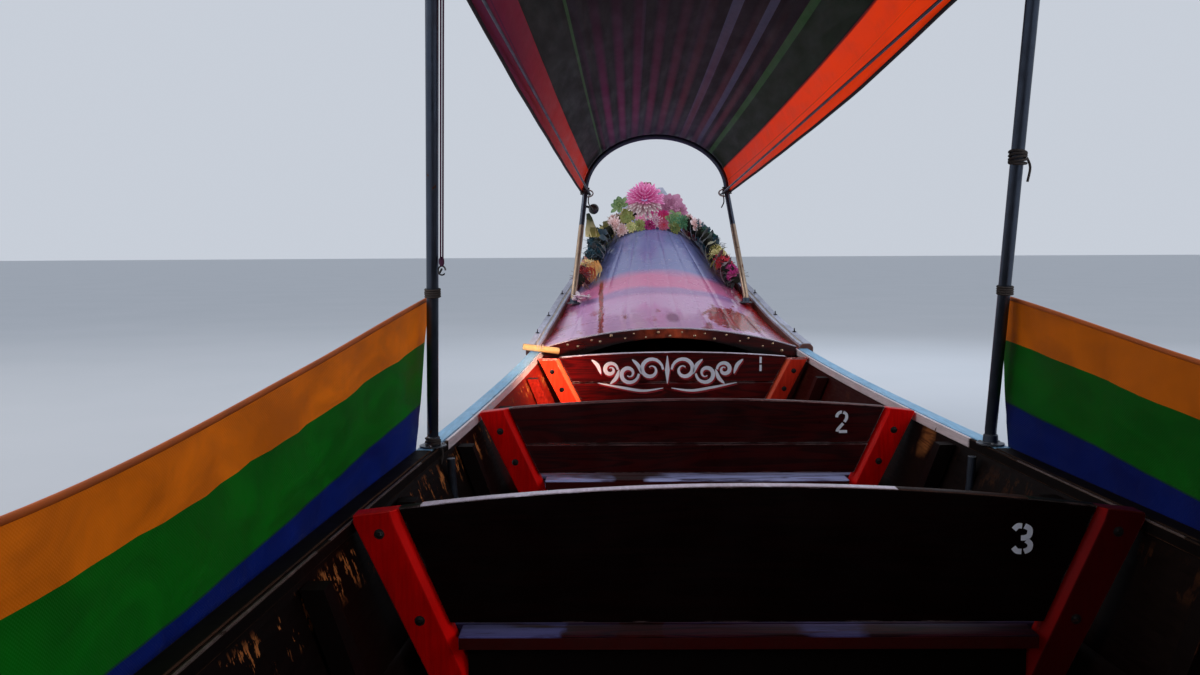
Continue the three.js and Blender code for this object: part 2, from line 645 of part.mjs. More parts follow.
for (const [word, side] of [['port', -1], ['starboard', 1]]) {
  const thickness = 8;
  piece(`curtain_${word}`, loft(CURTAIN.map(({ y, topX, topZ, midX, lowX, lowZ }) => {
    const midZ = capTop(y) + 6;
    const outside = [[topX, topZ], [midX, midZ], [lowX, lowZ]];
    const inside = outside.map(([x, z]) => [x - thickness, z]).reverse();
    return [...outside, ...inside].map(([x, z]) => [side * x, y, z]);
  })), CURTAIN_CLOTH);
}

// Bow garland, laid along the toe rails and then across the foredeck, and a bamboo peg

// Height at which a ball rests on the deck and the rails
function restingHeight(x, y, radius) {
  let highest = 0;
  for (let turn = 0; turn < 12; turn++) {
    for (const share of [0, 0.35, 0.65, 0.9]) {
      const reach = radius * share;
      const across = Math.abs(x + reach * Math.cos((turn * Math.PI) / 6));
      const along = y + reach * Math.sin((turn * Math.PI) / 6);
      const { beam, sheer } = sideAt(along);
      if (across > beam + RAIL_OUT) continue;
      const ground = across > beam - RAIL_IN - 4 ? sheer + 55 : deckTop(across, along);
      highest = Math.max(highest, ground + Math.sqrt(radius ** 2 - reach ** 2));
    }
  }
  return highest;
}

function garland() {
  const radius = 58;
  const lift = 2.3;
  // Places from the rail's end to the middle of the deck, and the share of the half beam there
  const places = [[5050, 0.895], [5200, 0.89], [5340, 0.895], [5460, 0.9], [5560, 0.86], [5635, 0.74],
    [5690, 0.55], [5722, 0.29]];
  const starboard = places.map(([y, share]) => {
    const x = share * sideAt(y).beam;
    return [x, y, restingHeight(x, y, radius) + lift];
  });
  const middle = [0, 5735, restingHeight(0, 5735, radius) + lift];
  const port = starboard.map(([x, y, z]) => [-x, y, z]).reverse();
  return pipe([...starboard, middle, ...port], radius, 8);
}

piece('garland', garland(), FLOWERS);

const PEG = { radius: 13, y: 4095, from: -572, to: -430 };
const pegZ = capTop(PEG.y) + PEG.radius + GAP;
piece('bow_peg', rod('x', PEG.radius, PEG.from, PEG.to, [PEG.y, pegZ], 12), BAMBOO);

// Stern: deck with its bulkhead, driver's seat, fuel tank and the turret's base

function hullPlate(y, thickness, low, high) {
  const outline = [];
  for (let i = 0; i <= 6; i++) {
    const z = lerp(low, high, i / 6);
    outline.push([Math.min(insideWidth(y, z), insideWidth(y + thickness, z)) - 0.9, z]);
  }
  return plate(mirrored(outline), y, thickness);
}

const sternPlank = loft(between(STATIONS[0] + 0.6, STERN_DECK_FRONT).map((y) => {
  const half = insideWidth(y, STERN_DECK_LOW) - 0.8;
  return [[-half, y, STERN_DECK_LOW], [half, y, STERN_DECK_LOW], [half, y, STERN_DECK_TOP],
    [-half, y, STERN_DECK_TOP]];
}));
const bulkheadLow = FLOOR_BOTTOM;
const bulkhead = hullPlate(STERN_DECK_FRONT - 31, 30, bulkheadLow, STERN_DECK_LOW + 10);
piece('stern_deck', fuse(sternPlank, bulkhead), MAHOGANY);

const SEAT = { y: -4180, depth: 340, top: 290, thickness: 30 };
const seatWide = ribWidth(SEAT.y - SEAT.depth, SEAT.y, SEAT.top - SEAT.thickness);
const seatLegs = [-1, 1].map((side) => box(side * 300 - 25, side * 300 + 25, SEAT.y - SEAT.depth + 20,
  SEAT.y - 20, FLOOR_BOTTOM + FLOOR_THICKNESS + GAP, SEAT.top - SEAT.thickness + 4));
const seatPlank = box(-seatWide, seatWide, SEAT.y - SEAT.depth, SEAT.y, SEAT.top - SEAT.thickness, SEAT.top);
piece('driver_seat', fuse(seatPlank, ...seatLegs), SEAT_WOOD);

const floorTop = FLOOR_BOTTOM + FLOOR_THICKNESS;
const tankBody = box(60, 380, -4950, -4640, floorTop + GAP, floorTop + 330);
const tankNeck = rod('z', 32, floorTop + 320, floorTop + 362, [160, -4700], 16);
piece('fuel_tank', fuse(tankBody, tankNeck), TANK_PLASTIC);

const columnTop = 760;
const turretProfile = [[0, STERN_DECK_TOP + GAP], [150, STERN_DECK_TOP + GAP], [150, STERN_DECK_TOP + 26],
  [76, STERN_DECK_TOP + 40], [68, columnTop - 30], [92, columnTop - 22], [92, columnTop], [0, columnTop]];
piece('turret_base', new THREE.LatheGeometry(turretProfile.map(([r, z]) => new THREE.Vector2(r, z)), 20)
  .rotateX(Math.PI / 2).translate(0, TURRET_Y, 0), PAINTED_STEEL);

// Turret yoke, in the turret's own frame

const EAR = { inside: 100, outside: 122, half: 55, top: 42 };
const PIN = 18;
const yokeLow = columnTop + 0.6;
const yokeOutline = [[EAR.outside, yokeLow], [EAR.outside, PIVOT_Z + EAR.top - 14],
  [EAR.outside - 6, PIVOT_Z + EAR.top], [EAR.inside, PIVOT_Z + EAR.top], [EAR.inside, yokeLow + 34]];
const yokeBody = plate(mirrored(yokeOutline), -EAR.half, 2 * EAR.half);
const pinHole = rod('x', PIN + 0.6, -200, 200, [0, PIVOT_Z], 24);
piece('turret_yoke', cut(yokeBody, pinHole), PAINTED_STEEL, turret);

// Engine unit, in its own tilted frame: +Y towards the grip, shaft along -Y

const BEAM_X = [150, 190];
const CRADLE = { back: -330, front: 760 };
const beams = [-1, 1].map((side) => box(...[side * BEAM_X[0], side * BEAM_X[1]].sort((a, b) => a - b),
  CRADLE.back, CRADLE.front, -30, 30));
const rearPlate = box(-190, 190, CRADLE.back - 12, CRADLE.back + 8, -30, SHAFT_Z + 85);
const frontBar = box(-190, 190, CRADLE.front - 50, CRADLE.front, -30, 0);
const pins = rod('x', PIN, -160, 160, [0, 0], 24);

// Tiller, welded to the front of the cradle
const armStart = CRADLE.front - 8;
const arms = [-1, 1].map((side) => pipe([[side * 170, armStart, 0], [side * 170, armStart + 48, 0],
  [side * 20, armStart + 198, -30]], 14, 8));
const handle = pipe([[0, armStart + 178, -28], [0, armStart + 338, -75], [0, 1400, -215]], 17, 10);
const grip = rod('x', 16, -130, 130, [1392, -213], 12);
piece('engine_cradle', fuse(...beams, rearPlate, frontBar, pins, ...arms, handle, grip), PAINTED_STEEL,
  engineUnit);

const BLOCK = { back: 120, front: 705, half: 138, low: 42, top: 395 };
const crank = [0, SHAFT_Z];
const coupling = rod('y', 52, CRADLE.back + 9, BLOCK.back + 6, crank, 20);
const bell = rod('y', 148, 92, BLOCK.back + 10, [0, SHAFT_Z + 25], 24);
const block = box(-BLOCK.half, BLOCK.half, BLOCK.back, BLOCK.front, BLOCK.low, BLOCK.top);
const sump = box(-112, 112, BLOCK.back + 60, BLOCK.front - 60, -62, BLOCK.low + 4);
const feet = [190, 560].map((y) => box(-BEAM_X[1], BEAM_X[1], y, y + 70, 30 + GAP, BLOCK.low + 8));
const pulley = rod('y', 82, BLOCK.front - 5, 752, crank, 24);
const waterPump = rod('y', 58, BLOCK.front - 5, 748, [-20, 290], 20);
const alternator = rod('y', 56, 520, 738, [182, 250], 18);
const alternatorArm = box(120, 190, 560, 600, 240, 262);
const headLow = BLOCK.top;
const head = box(-105, 105, 140, 690, headLow - 4, headLow + 78);
const rocker = plate(mirrored([[78, headLow + 70], [78, headLow + 118], [52, headLow + 146]]), 160, 510);
piece('engine_block', fuse(block, sump, ...feet, coupling, bell, pulley, waterPump, alternator,
  alternatorArm, head, rocker), CAST_IRON, engineUnit);

const manifold = rod('y', 30, 170, 660, [-150, headLow + 40], 14);
const ports = [210, 340, 470, 600].map((y) => box(-150, -105.5, y, y + 40, headLow + 18, headLow + 58));
const riser = pipe([[-150, 640, headLow + 40], [-215, 632, headLow + 90], [-225, 612, headLow + 180],
  [-225, 590, headLow + 480]], 25, 10);
const silencer = rod('z', 58, headLow + 200, headLow + 420, [-225, 603], 18);
piece('exhaust', fuse(manifold, ...ports, riser, silencer), RUSTY_STEEL, engineUnit);

const cleanerDrum = rod('z', 98, headLow + 96, headLow + 206, [215, 270], 24);
const intake = box(105.5, 150, 180, 620, headLow + 16, headLow + 56);
const elbow = pipe([[140, 300, headLow + 34], [178, 292, headLow + 42], [208, 280, headLow + 74],
  [214, 274, headLow + 110]], 28, 10);
piece('air_cleaner', fuse(cleanerDrum, intake, elbow), PAINTED_STEEL, engineUnit);

const tailFront = CRADLE.back - 12 - GAP;
const tailBack = -TAIL_LENGTH;
const tube = rod('y', TAIL_RADIUS, tailBack, tailFront, crank, 16);
const flange = rod('y', 82, tailFront - 22, tailFront, crank, 20);
const collar = rod('y', 50, tailBack, tailBack + 120, crank, 16);
const guard = PROPELLER_RADIUS + 25;
const skegOutline = [[-3780, SHAFT_Z], [-3900, SHAFT_Z - 70], [-4080, SHAFT_Z - guard],
  [-4180, SHAFT_Z - guard - 42], [-4320, SHAFT_Z - guard - 52], [-4320, SHAFT_Z - guard - 24],
  [-4180, SHAFT_Z - guard], [-4165, SHAFT_Z - 60], [-4165, SHAFT_Z]];
const skegShape = new THREE.Shape(skegOutline.map(([y, z]) => new THREE.Vector2(y, z)));
const skeg = new THREE.ExtrudeGeometry(skegShape, { depth: 10, bevelEnabled: false })
  .rotateX(Math.PI / 2).rotateZ(Math.PI / 2).translate(-5, 0, 0);
const stay = pipe([[0, tailFront - 10, SHAFT_Z + 70], [0, -1500, SHAFT_Z + 78],
  [0, -3000, SHAFT_Z + 30]], 11, 8);
piece('tail_tube', fuse(tube, flange, collar, skeg, stay), PAINTED_STEEL, engineUnit);

// Propeller: a hub and two twisted blades

function blade(turn) {
  const rings = [];
  for (let i = 0; i <= 6; i++) {
    const t = i / 6;
    const r = lerp(20, PROPELLER_RADIUS, t);
    const chord = lerp(34, 88, Math.sin(Math.PI * Math.min(1, 0.15 + 0.72 * t))) * (t > 0.9 ? 0.72 : 1);
    const pitch = THREE.MathUtils.degToRad(lerp(62, 24, t));
    const thick = lerp(7, 2.5, t);
    const along = [Math.cos(pitch), Math.sin(pitch)];
    const ring = [[-chord, 0], [-chord * 0.3, thick], [chord * 0.6, thick], [chord, 0],
      [chord * 0.6, -thick], [-chord * 0.3, -thick]];
    rings.push(ring.map(([a, b]) => [a * along[0] - b * along[1], r, a * along[1] + b * along[0]]));
  }
  return loft(rings).rotateX(Math.PI / 2).rotateY(turn);
}

const hubMiddle = tailBack - 62;
const hubProfile = [[0, 61.4], [44, 61.4], [42, 0], [36, -40], [16, -72], [0, -78]];
const hub = new THREE.LatheGeometry(hubProfile.map(([r, h]) => new THREE.Vector2(r, h)).reverse(), 18);
piece('propeller', fuse(hub, blade(0), blade(Math.PI)).translate(0, hubMiddle, SHAFT_Z), BRONZE, engineUnit);

export default boat;
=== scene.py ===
import random
from functools import lru_cache
from math import atan2, copysign, cos, pi, radians, sin, sqrt

import bmesh
import bpy
from mathutils import Matrix, Vector


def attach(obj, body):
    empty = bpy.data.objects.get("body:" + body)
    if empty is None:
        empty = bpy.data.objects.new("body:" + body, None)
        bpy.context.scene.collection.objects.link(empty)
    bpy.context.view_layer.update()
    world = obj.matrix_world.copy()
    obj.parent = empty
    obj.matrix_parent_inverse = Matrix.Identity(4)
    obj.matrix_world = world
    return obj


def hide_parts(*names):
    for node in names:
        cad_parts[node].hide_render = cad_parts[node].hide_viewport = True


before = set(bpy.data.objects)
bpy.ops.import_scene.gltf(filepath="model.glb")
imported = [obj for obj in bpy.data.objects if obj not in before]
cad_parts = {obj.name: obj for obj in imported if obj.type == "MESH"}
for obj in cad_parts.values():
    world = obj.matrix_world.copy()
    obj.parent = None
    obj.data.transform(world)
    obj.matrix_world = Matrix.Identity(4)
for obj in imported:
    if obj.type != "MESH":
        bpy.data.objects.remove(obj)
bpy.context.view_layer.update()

# Long-tail passenger boat afloat, in metres: +Y to the bow, +X to starboard, +Z up from the waterline

# Driving dimensions, as in the solids

PLANK = 0.027
WALE_DEPTH = 0.13
WALE_PROUD = 0.016
RIB = 0.036
CAP = 0.025
CAP_IN = 0.03
CAP_OUT = 0.02
CAP_JOINT = 2.56
CAP_SEAM = 0.0195
SEAM_HALF = 0.001
GAP = 0.0003
DECK_END = 4.184
DECK_TIP = 6.2
DECK_THICKNESS = 0.022
RAIL_OUT = 0.04
RAIL_IN = 0.01
COAMING = 0.03
STILE_WIDTH = 0.078
STILE_THICKNESS = 0.042
BOARD_THICKNESS = 0.025
BENCH_DEPTH = 0.33
BENCH_THICKNESS = 0.024
BEARER = 0.06
PIPE = 0.0135
RAIL_PIPE = 0.011
STERN_DECK_TOP = 0.47
TURRET_Y = -5.3
PIVOT_Z = 1
TAIL_DROP = radians(18)

# Place, half beam, sheer, underside of the bottom planks, half width of the keel, fullness of the bilge
HULL = [
    (-6.25, 0.77, 0.52, -0.205, 0.12, 0.74), (-5.2, 0.815, 0.485, -0.24, 0.12, 0.74),
    (-4, 0.85, 0.462, -0.262, 0.12, 0.75), (-2.5, 0.87, 0.444, -0.27, 0.12, 0.75),
    (-1, 0.865, 0.44, -0.27, 0.12, 0.75), (0.5, 0.825, 0.447, -0.27, 0.12, 0.74),
    (2, 0.73, 0.466, -0.27, 0.12, 0.66), (3, 0.632, 0.498, -0.27, 0.118, 0.52),
    (4, 0.54, 0.55, -0.255, 0.1, 0.32), (4.6, 0.492, 0.612, -0.16, 0.078, 0.24),
    (5, 0.433, 0.718, -0.03, 0.062, 0.2), (5.4, 0.337, 0.865, 0.19, 0.048, 0.18),
    (5.7, 0.237, 1.008, 0.43, 0.04, 0.16), (6, 0.125, 1.165, 0.775, 0.032, 0.15),
    (6.25, 0.048, 1.31, 1.215, 0.026, 0.15),
]
CAMBER = [(4.184, 0.08), (5, 0.104), (5.5, 0.112), (5.9, 0.076), (6.2, 0.03)]

# Passenger rows from the bow: place, and crown, ends and seat above the gunwale cap
ROWS = [
    (4, 0.02, 0.002, -0.185), (3, 0.038, 0.016, -0.183), (2, 0.061, 0.024, -0.201),
    (1, 0.062, 0.025, -0.205), (0, 0.062, 0.025, -0.205), (-1, 0.062, 0.025, -0.205),
    (-2, 0.062, 0.025, -0.205),
]

# Hoops: foot across and along, shoulder across, along and up, crown
HOOPS = {
    "front_hoop": (0.4, 4.9, 0.35, 5.25, 1.27, 1.54),
    "canopy_hoop_1": (0.662, 2.6, 0.575, 2.2, 1.59, 2),
    "canopy_hoop_2": (0.838, -0.1, 0.7, -0.3, 1.625, 2.06),
    "canopy_hoop_3": (0.862, -2.8, 0.71, -2.95, 1.61, 2.04),
}
# Canopy cloth: place, half width, edge and crown on the hoops' pipe line
CANOPY = [
    (-3.4, 0.705, 1.6, 2.022), (-2.95, 0.71, 1.61, 2.04), (-1.6, 0.702, 1.608, 2.032),
    (-0.3, 0.7, 1.625, 2.06), (0.95, 0.64, 1.598, 2.008), (2.2, 0.575, 1.59, 2),
    (3.29, 0.48, 1.44, 1.79), (4.3, 0.412, 1.345, 1.645), (5.25, 0.35, 1.27, 1.54),
    (5.33, 0.345, 1.262, 1.531),
]
# Side curtain's outer face: place, top across and up, across at the cap, foot across and up
CURTAIN = [
    (-2.848, 0.8344, 0.866, 0.903, 0.907, 0.4), (-2.15, 0.888, 0.756, 0.904, 0.909, 0.366),
    (-1.5, 0.893, 0.716, 0.902, 0.908, 0.356), (-0.9, 0.884, 0.752, 0.897, 0.902, 0.366),
    (-0.165, 0.8148, 0.866, 0.882, 0.888, 0.4), (0.55, 0.846, 0.762, 0.856, 0.864, 0.372),
    (1.2, 0.826, 0.713, 0.825, 0.832, 0.36), (1.9, 0.752, 0.775, 0.768, 0.774, 0.378),
    (2.475, 0.6564, 0.866, 0.716, 0.722, 0.41),
]
SIDES = {"port": -1, "starboard": 1}
ACROSS, FORE, AFT, UP = (1, 0, 0), (0, 1, 0), (0, -1, 0), (0, 0, 1)


# Camera

def set_camera():
    camera = bpy.data.objects.new("camera", bpy.data.cameras.new("camera"))
    camera.data.lens = 30
    camera.data.sensor_width = 36
    camera.data.clip_start = 0.02
    yaw, pitch, roll = radians(0.39), radians(-4.716), radians(-0.3)
    place, level = Matrix.Translation((-0.247, 0.25, 0.96)), Matrix.Rotation(radians(90) + pitch, 4, "X")
    camera.matrix_world = place @ Matrix.Rotation(yaw, 4, "Z") @ level @ Matrix.Rotation(roll, 4, "Z")
    bpy.context.scene.collection.objects.link(camera)
    bpy.context.scene.camera = camera


set_camera()


# Curves of the hull

def table_value(table, column, place):
    """Smooth value of a table's column, through every row."""
    i = max(0, min(len(table) - 2, sum(row[0] <= place for row in table) - 1))

    def slope(k):
        a, b = table[max(0, k - 1)], table[min(len(table) - 1, k + 1)]
        return (b[column] - a[column]) / (b[0] - a[0])

    p, q = table[i], table[i + 1]
    h = q[0] - p[0]
    t = (place - p[0]) / h
    return ((2 * t ** 3 - 3 * t ** 2 + 1) * p[column] + (3 * t ** 2 - 2 * t ** 3) * q[column]
        + h * ((t ** 3 - 2 * t ** 2 + t) * slope(i) + (t ** 3 - t ** 2) * slope(i + 1)))


def lerp(a, b, t):
    return a + (b - a) * t


def spread(start, end, step):
    """Places from start to end, evenly spaced at about the step."""
    count = max(1, round(abs(end - start) / step))
    return [lerp(start, end, i / count) for i in range(count + 1)]


@lru_cache(maxsize=None)
def side_curves(y):
    """Corners of the outer and inner side curves at a place, with beam, sheer and keel."""
    beam, sheer, keel, keel_half, full = (table_value(HULL, column, y) for column in range(1, 6))
    start = Vector((keel_half + GAP, keel))
    turn = Vector((lerp(keel_half, beam, full), lerp(keel, sheer, 0.068)))
    end = Vector((beam, sheer))
    bottom, side = (turn - start).normalized(), (end - turn).normalized()
    share = PLANK / (1 + bottom.dot(side))
    inner_start = Vector((start.x, keel + min(PLANK / bottom.x, 0.6 * (sheer - keel))))
    inner_turn = Vector((max(start.x, turn.x - share * (bottom.y + side.y)),
        max(min(turn.y + share * (bottom.x + side.x), sheer - 0.002), inner_start.y + 0.003)))
    inner_end = Vector((max(start.x, beam - PLANK / side.y), sheer))
    return (start, turn, end), (inner_start, inner_turn, inner_end), beam, sheer, keel, keel_half


def bezier(corners, t):
    a, b, c = corners
    return a * (1 - t) ** 2 + b * 2 * t * (1 - t) + c * t ** 2


def beam_at(y):
    return side_curves(y)[2]


def sheer_at(y):
    return side_curves(y)[3]


def cap_top(y):
    return sheer_at(y) + GAP + CAP


def climb(corners, z):
    """Share of a side curve at which it reaches a height."""
    low, high = 0, 1
    for _ in range(24):
        middle = (low + high) / 2
        low, high = (middle, high) if bezier(corners, middle).y < z else (low, middle)
    return low


def width_at(y, z, inside=True):
    """Half width of the hull at a height."""
    corners = side_curves(y)[1 if inside else 0]
    return bezier(corners, climb(corners, z)).x


def deck_top(x, y):
    half = beam_at(y) - RAIL_IN - GAP
    return sheer_at(y) + GAP + DECK_THICKNESS + table_value(CAMBER, 1, y) * (1 - (x / half) ** 2)


# Mesh tools

def piece(name, points, faces, material, slot, solid=None, body="root", uvs=None, sharp_angle=38):
    """Puts one visible piece into the scene, from points and faces in metres."""
    mesh = bpy.data.meshes.new(name)
    mesh.from_pydata([tuple(p) for p in points], [], faces)
    if uvs:
        layer = mesh.uv_layers.new(name="UVMap")
        for loop in mesh.loops:
            layer.data[loop.index].uv = uvs[loop.vertex_index]
    work = bmesh.new()
    work.from_mesh(mesh)
    bmesh.ops.recalc_face_normals(work, faces=work.faces)
    work.to_mesh(mesh)
    work.free()
    mesh.shade_smooth()
    mesh.set_sharp_from_angle(angle=radians(sharp_angle))
    mesh.materials.append(material)
    obj = bpy.data.objects.new(name, mesh)
    bpy.context.scene.collection.objects.link(obj)
    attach(obj, body)
    if solid:
        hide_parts(solid)
    return obj


def soften(obj, width, segments=2, angle=40):
    """Rounds the piece's sharp edges."""
    modifier = obj.modifiers.new("soft_edges", "BEVEL")
    modifier.width = width
    modifier.segments = segments
    modifier.limit_method = "ANGLE"
    modifier.angle_limit = radians(angle)
    modifier.harden_normals = True
    return obj


def square_to(axis):
    """An axis, and two more at right angles to it."""
    axis = Vector(axis).normalized()
    first = axis.orthogonal().normalized()
    return axis, first, axis.cross(first)


def oblong(near, far, low, high):
    return [(near, low), (far, low), (far, high), (near, high)]


def around(count, steps=None):
    """Angles of a circle, one for each of its points."""
    return [2 * pi * i / count for i in range(steps or count)]


class Parts:
    """Points and faces of several closed forms that make one piece, drawn in a unit of metres."""

    def __init__(self, unit=1):
        self.unit, self.points, self.faces = unit, [], []

    def add(self, points, faces):
        base = len(self.points)
        self.points += [self.unit * Vector(p) for p in points]
        self.faces += [tuple(k + base for k in face) for face in faces]
        return self

    def loft(self, rings, closed=True):
        """Skin over rings of points, with its ends closed."""
        count = len(rings[0])
        faces = []
        for r in range(len(rings) - 1):
            for i in range(count):
                j = (i + 1) % count
                faces.append((r * count + i, r * count + j, (r + 1) * count + j, (r + 1) * count + i))
        if closed:
            last = (len(rings) - 1) * count
            faces += [tuple(range(count))[::-1], tuple(range(last, last + count))]
        return self.add([p for ring in rings for p in ring], faces)

    def prism(self, outline, shift):
        """Outline pushed along a vector."""
        shift = Vector(shift)
        return self.loft([[Vector(p) for p in outline], [Vector(p) + shift for p in outline]])

    def box(self, low, high):
        (x0, y0, z0), (x1, y1, z1) = low, high
        return self.prism([(x0, y0, z0), (x1, y0, z0), (x1, y1, z0), (x0, y1, z0)], (0, 0, z1 - z0))

    def tube(self, path, radius, sides):
        """Round bar along a path. The radius is one value or one for each point."""
        path = [Vector(p) for p in path]
        radii = [radius] * len(path) if isinstance(radius, (int, float)) else radius
        rings, side_axis = [], None
        for k, point in enumerate(path):
            along = (path[min(k + 1, len(path) - 1)] - path[max(k - 1, 0)]).normalized()
            if side_axis is None:
                side_axis = along.orthogonal().normalized()
            side_axis = (side_axis - along * side_axis.dot(along)).normalized()
            other = along.cross(side_axis)
            rings.append([point + radii[k] * (side_axis * cos(a) + other * sin(a)) for a in around(sides)])
        return self.loft(rings)

    def turned(self, profile, centre, axis, sides=20):
        """Turned form: profile of (radius, height) along an axis from a centre."""
        (axis, first, second), centre = square_to(axis), Vector(centre)
        return self.loft([[centre + axis * h + max(r, 1e-5 / self.unit) * (first * cos(a) + second * sin(a))
            for a in around(sides)] for r, h in profile])

    def ball(self, centre, radius, sides=12):
        return self.turned([(radius * sin(a), -radius * cos(a)) for a in around(16, 9)], centre, UP, sides)

    def pipe(self, corners, steps, radius, sides):
        """Round bar along a curve through its corners."""
        return self.tube(smooth_path(corners, steps), radius, sides)

    def bolt(self, centre, axis, radius, height):
        """Hexagon head on a washer."""
        thin = 0.0015 / self.unit
        self.turned([(radius * 1.5, 0), (radius * 1.5, thin), (radius * 1.35, thin * 4 / 3)], centre, axis,
            16)
        return self.turned([(radius, thin), (radius, height), (radius * 0.8, height + thin)], centre, axis, 6)

    def nail(self, centre):
        return self.turned([(0.005, -0.001), (0.005, 0.0003), (0.003, 0.0012)], centre, UP, 10)

    def washer(self, centre, axis, inner, outer, low, high, sides=24):
        """Flat ring round an axis, open in its middle."""
        (axis, first, second), centre = square_to(axis), Vector(centre)
        points, faces = [], []
        for r, h in ((inner, low), (outer, low), (outer, high), (inner, high)):
            points += [centre + axis * h + r * (first * cos(a) + second * sin(a)) for a in around(sides)]
        for k in range(4):
            for i in range(sides):
                j, m = (i + 1) % sides, (k + 1) % 4
                faces.append((k * sides + i, k * sides + j, m * sides + j, m * sides + i))
        return self.add(points, faces)

    def make(self, name, material, slot, placed=None, **options):
        points = [placed @ Vector(p) for p in self.points] if placed else self.points
        return piece(name, points, self.faces, material, slot, **options)


def smooth_path(corners, steps=6):
    """Curve through its corners."""
    corners = [Vector(c) for c in corners]
    path = []
    for k in range(len(corners) - 1):
        a, b = corners[max(0, k - 1)], corners[k]
        c, d = corners[k + 1], corners[min(len(corners) - 1, k + 2)]
        for i in range(steps):
            t = i / steps
            path.append(0.5 * ((2 * b) + (c - a) * t + (2 * a - 5 * b + 4 * c - d) * t ** 2
                + (3 * b - a - 3 * c + d) * t ** 3))
    return path + [corners[-1]]


def wind(cord, centre, reach, turns, pitch, slope, thickness, drift=0):
    """Cord wound round an upright post."""
    x, y, z = centre
    for k in range(turns):
        level = z + (k - (turns - 1) / 2) * pitch
        cord.tube([(x + reach * cos(a), y + reach * sin(a), level + slope * sin(a + drift * k))
            for a in around(16, 17)], thickness, 6)


# Shader tools

class Signal:
    """One value in a node tree. Sums and products of it are made as nodes."""

    def __init__(self, shading, socket):
        self.shading, self.socket = shading, socket

    def __add__(self, other):
        return self.shading.math("ADD", self, other)

    def __sub__(self, other):
        return self.shading.math("SUBTRACT", self, other)

    def __rsub__(self, other):
        return self.shading.math("SUBTRACT", other, self)

    def __mul__(self, other):
        return self.shading.math("MULTIPLY", self, other)

    def __pow__(self, other):
        return self.shading.math("POWER", self, other)

    def __abs__(self):
        return self.shading.math("ABSOLUTE", self)


class Outputs:
    """A node's outputs, each as a signal."""

    def __init__(self, shading, node):
        self.shading, self.node = shading, node

    def __getitem__(self, key):
        return Signal(self.shading, self.node.outputs[key])


class Shading:
    """Adds nodes to a tree. A socket given a value is set, and one given a signal is linked."""

    def __init__(self, tree):
        self.tree = tree

    def node(self, kind, sockets={}, **settings):
        made = self.tree.nodes.new("ShaderNode" + kind)
        for key, value in settings.items():
            setattr(made, key, value)
        for key, value in sockets.items():
            if isinstance(value, Signal):
                self.tree.links.new(value.socket, made.inputs[key])
            else:
                made.inputs[key].default_value = value
        return Outputs(self, made)

    def math(self, operation, a, b=0, clamp=False):
        return self.node("Math", {0: a, 1: b}, operation=operation, use_clamp=clamp)[0]

    def most(self, a, b):
        return self.math("MAXIMUM", a, b)

    def split(self, vector):
        parts = self.node("SeparateXYZ", {0: vector})
        return parts[0], parts[1], parts[2]

    def facing(self):
        """The face's own direction, in the boat's frame."""
        return self.split(self.node("TexCoord")["Normal"])

    def distance(self, vector, scale, centre):
        scaled = self.node("Mapping", {0: vector, 3: scale})[0]
        return self.node("VectorMath", {0: scaled, 1: centre}, operation="DISTANCE")["Value"]

    def mix(self, factor, a, b, blend="MIX"):
        return self.node("Mix", {0: factor, 6: a, 7: b}, data_type="RGBA", blend_type=blend)[2]

    def between(self, value, low, high, to_low=0, to_high=1):
        return self.node("MapRange", {0: value, 1: low, 2: high, 3: to_low, 4: to_high})[0]

    def steps(self, value, stops):
        """Colour by value, in bands with hard edges, from (start, colour) pairs."""
        made = self.node("ValToRGB", {0: value})
        ramp = made.node.color_ramp
        ramp.interpolation = "CONSTANT"
        while len(ramp.elements) < len(stops):
            ramp.elements.new(0.5)
        for element, (place, shade) in zip(ramp.elements, stops):
            element.position = place
            element.color = shade
        return made[0]

    def place(self, scale=(1, 1, 1)):
        return self.node("Mapping", {0: self.node("TexCoord")["Object"], 3: scale})[0]

    def noise(self, vector, scale, detail=4, roughness=0.55, distortion=0):
        return self.node("TexNoise", {"Vector": vector, "Scale": scale, "Detail": detail,
            "Roughness": roughness, "Distortion": distortion})[0]


def effect(name, inputs, outputs):
    """Starts a node group with named sockets. Gives its shading, its inputs and a way to close it."""
    tree = bpy.data.node_groups.new(name, "ShaderNodeTree")
    for label, kind, value in inputs:
        tree.interface.new_socket(label, in_out="INPUT", socket_type="NodeSocket"
            + kind).default_value = value
    for label, kind in outputs:
        tree.interface.new_socket(label, in_out="OUTPUT", socket_type="NodeSocket" + kind)
    start, end, shading = tree.nodes.new("NodeGroupInput"), tree.nodes.new("NodeGroupOutput"), Shading(tree)

    def close(**results):
        for label, signal in results.items():
            tree.links.new(signal.socket, end.inputs[label])
        return tree

    return shading, Outputs(shading, start), close


def make_wood_grain():
    s, given, close = effect("wood_grain", [
        ("Place", "Vector", (0, 0, 0)), ("Light", "Color", (0.3, 0.15, 0.08, 1)),
        ("Dark", "Color", (0.1, 0.04, 0.02, 1)), ("Figure", "Float", 1)],
        [("Color", "Color"), ("Height", "Float")])
    broad = s.noise(given["Place"], 2.4, 3, 0.5, 1.4)
    fibre = s.noise(given["Place"], 26, 6, 0.62, 0.3)
    rings = s.math("SINE", broad * (given["Figure"] * 34))
    grain = s.math("ADD", (rings * 0.5 + 0.5) * 0.42, fibre * 0.62, clamp=True)
    shade = s.between(grain, 0.2, 0.85)
    return close(Color=s.mix(shade, given["Dark"], given["Light"]), Height=grain)


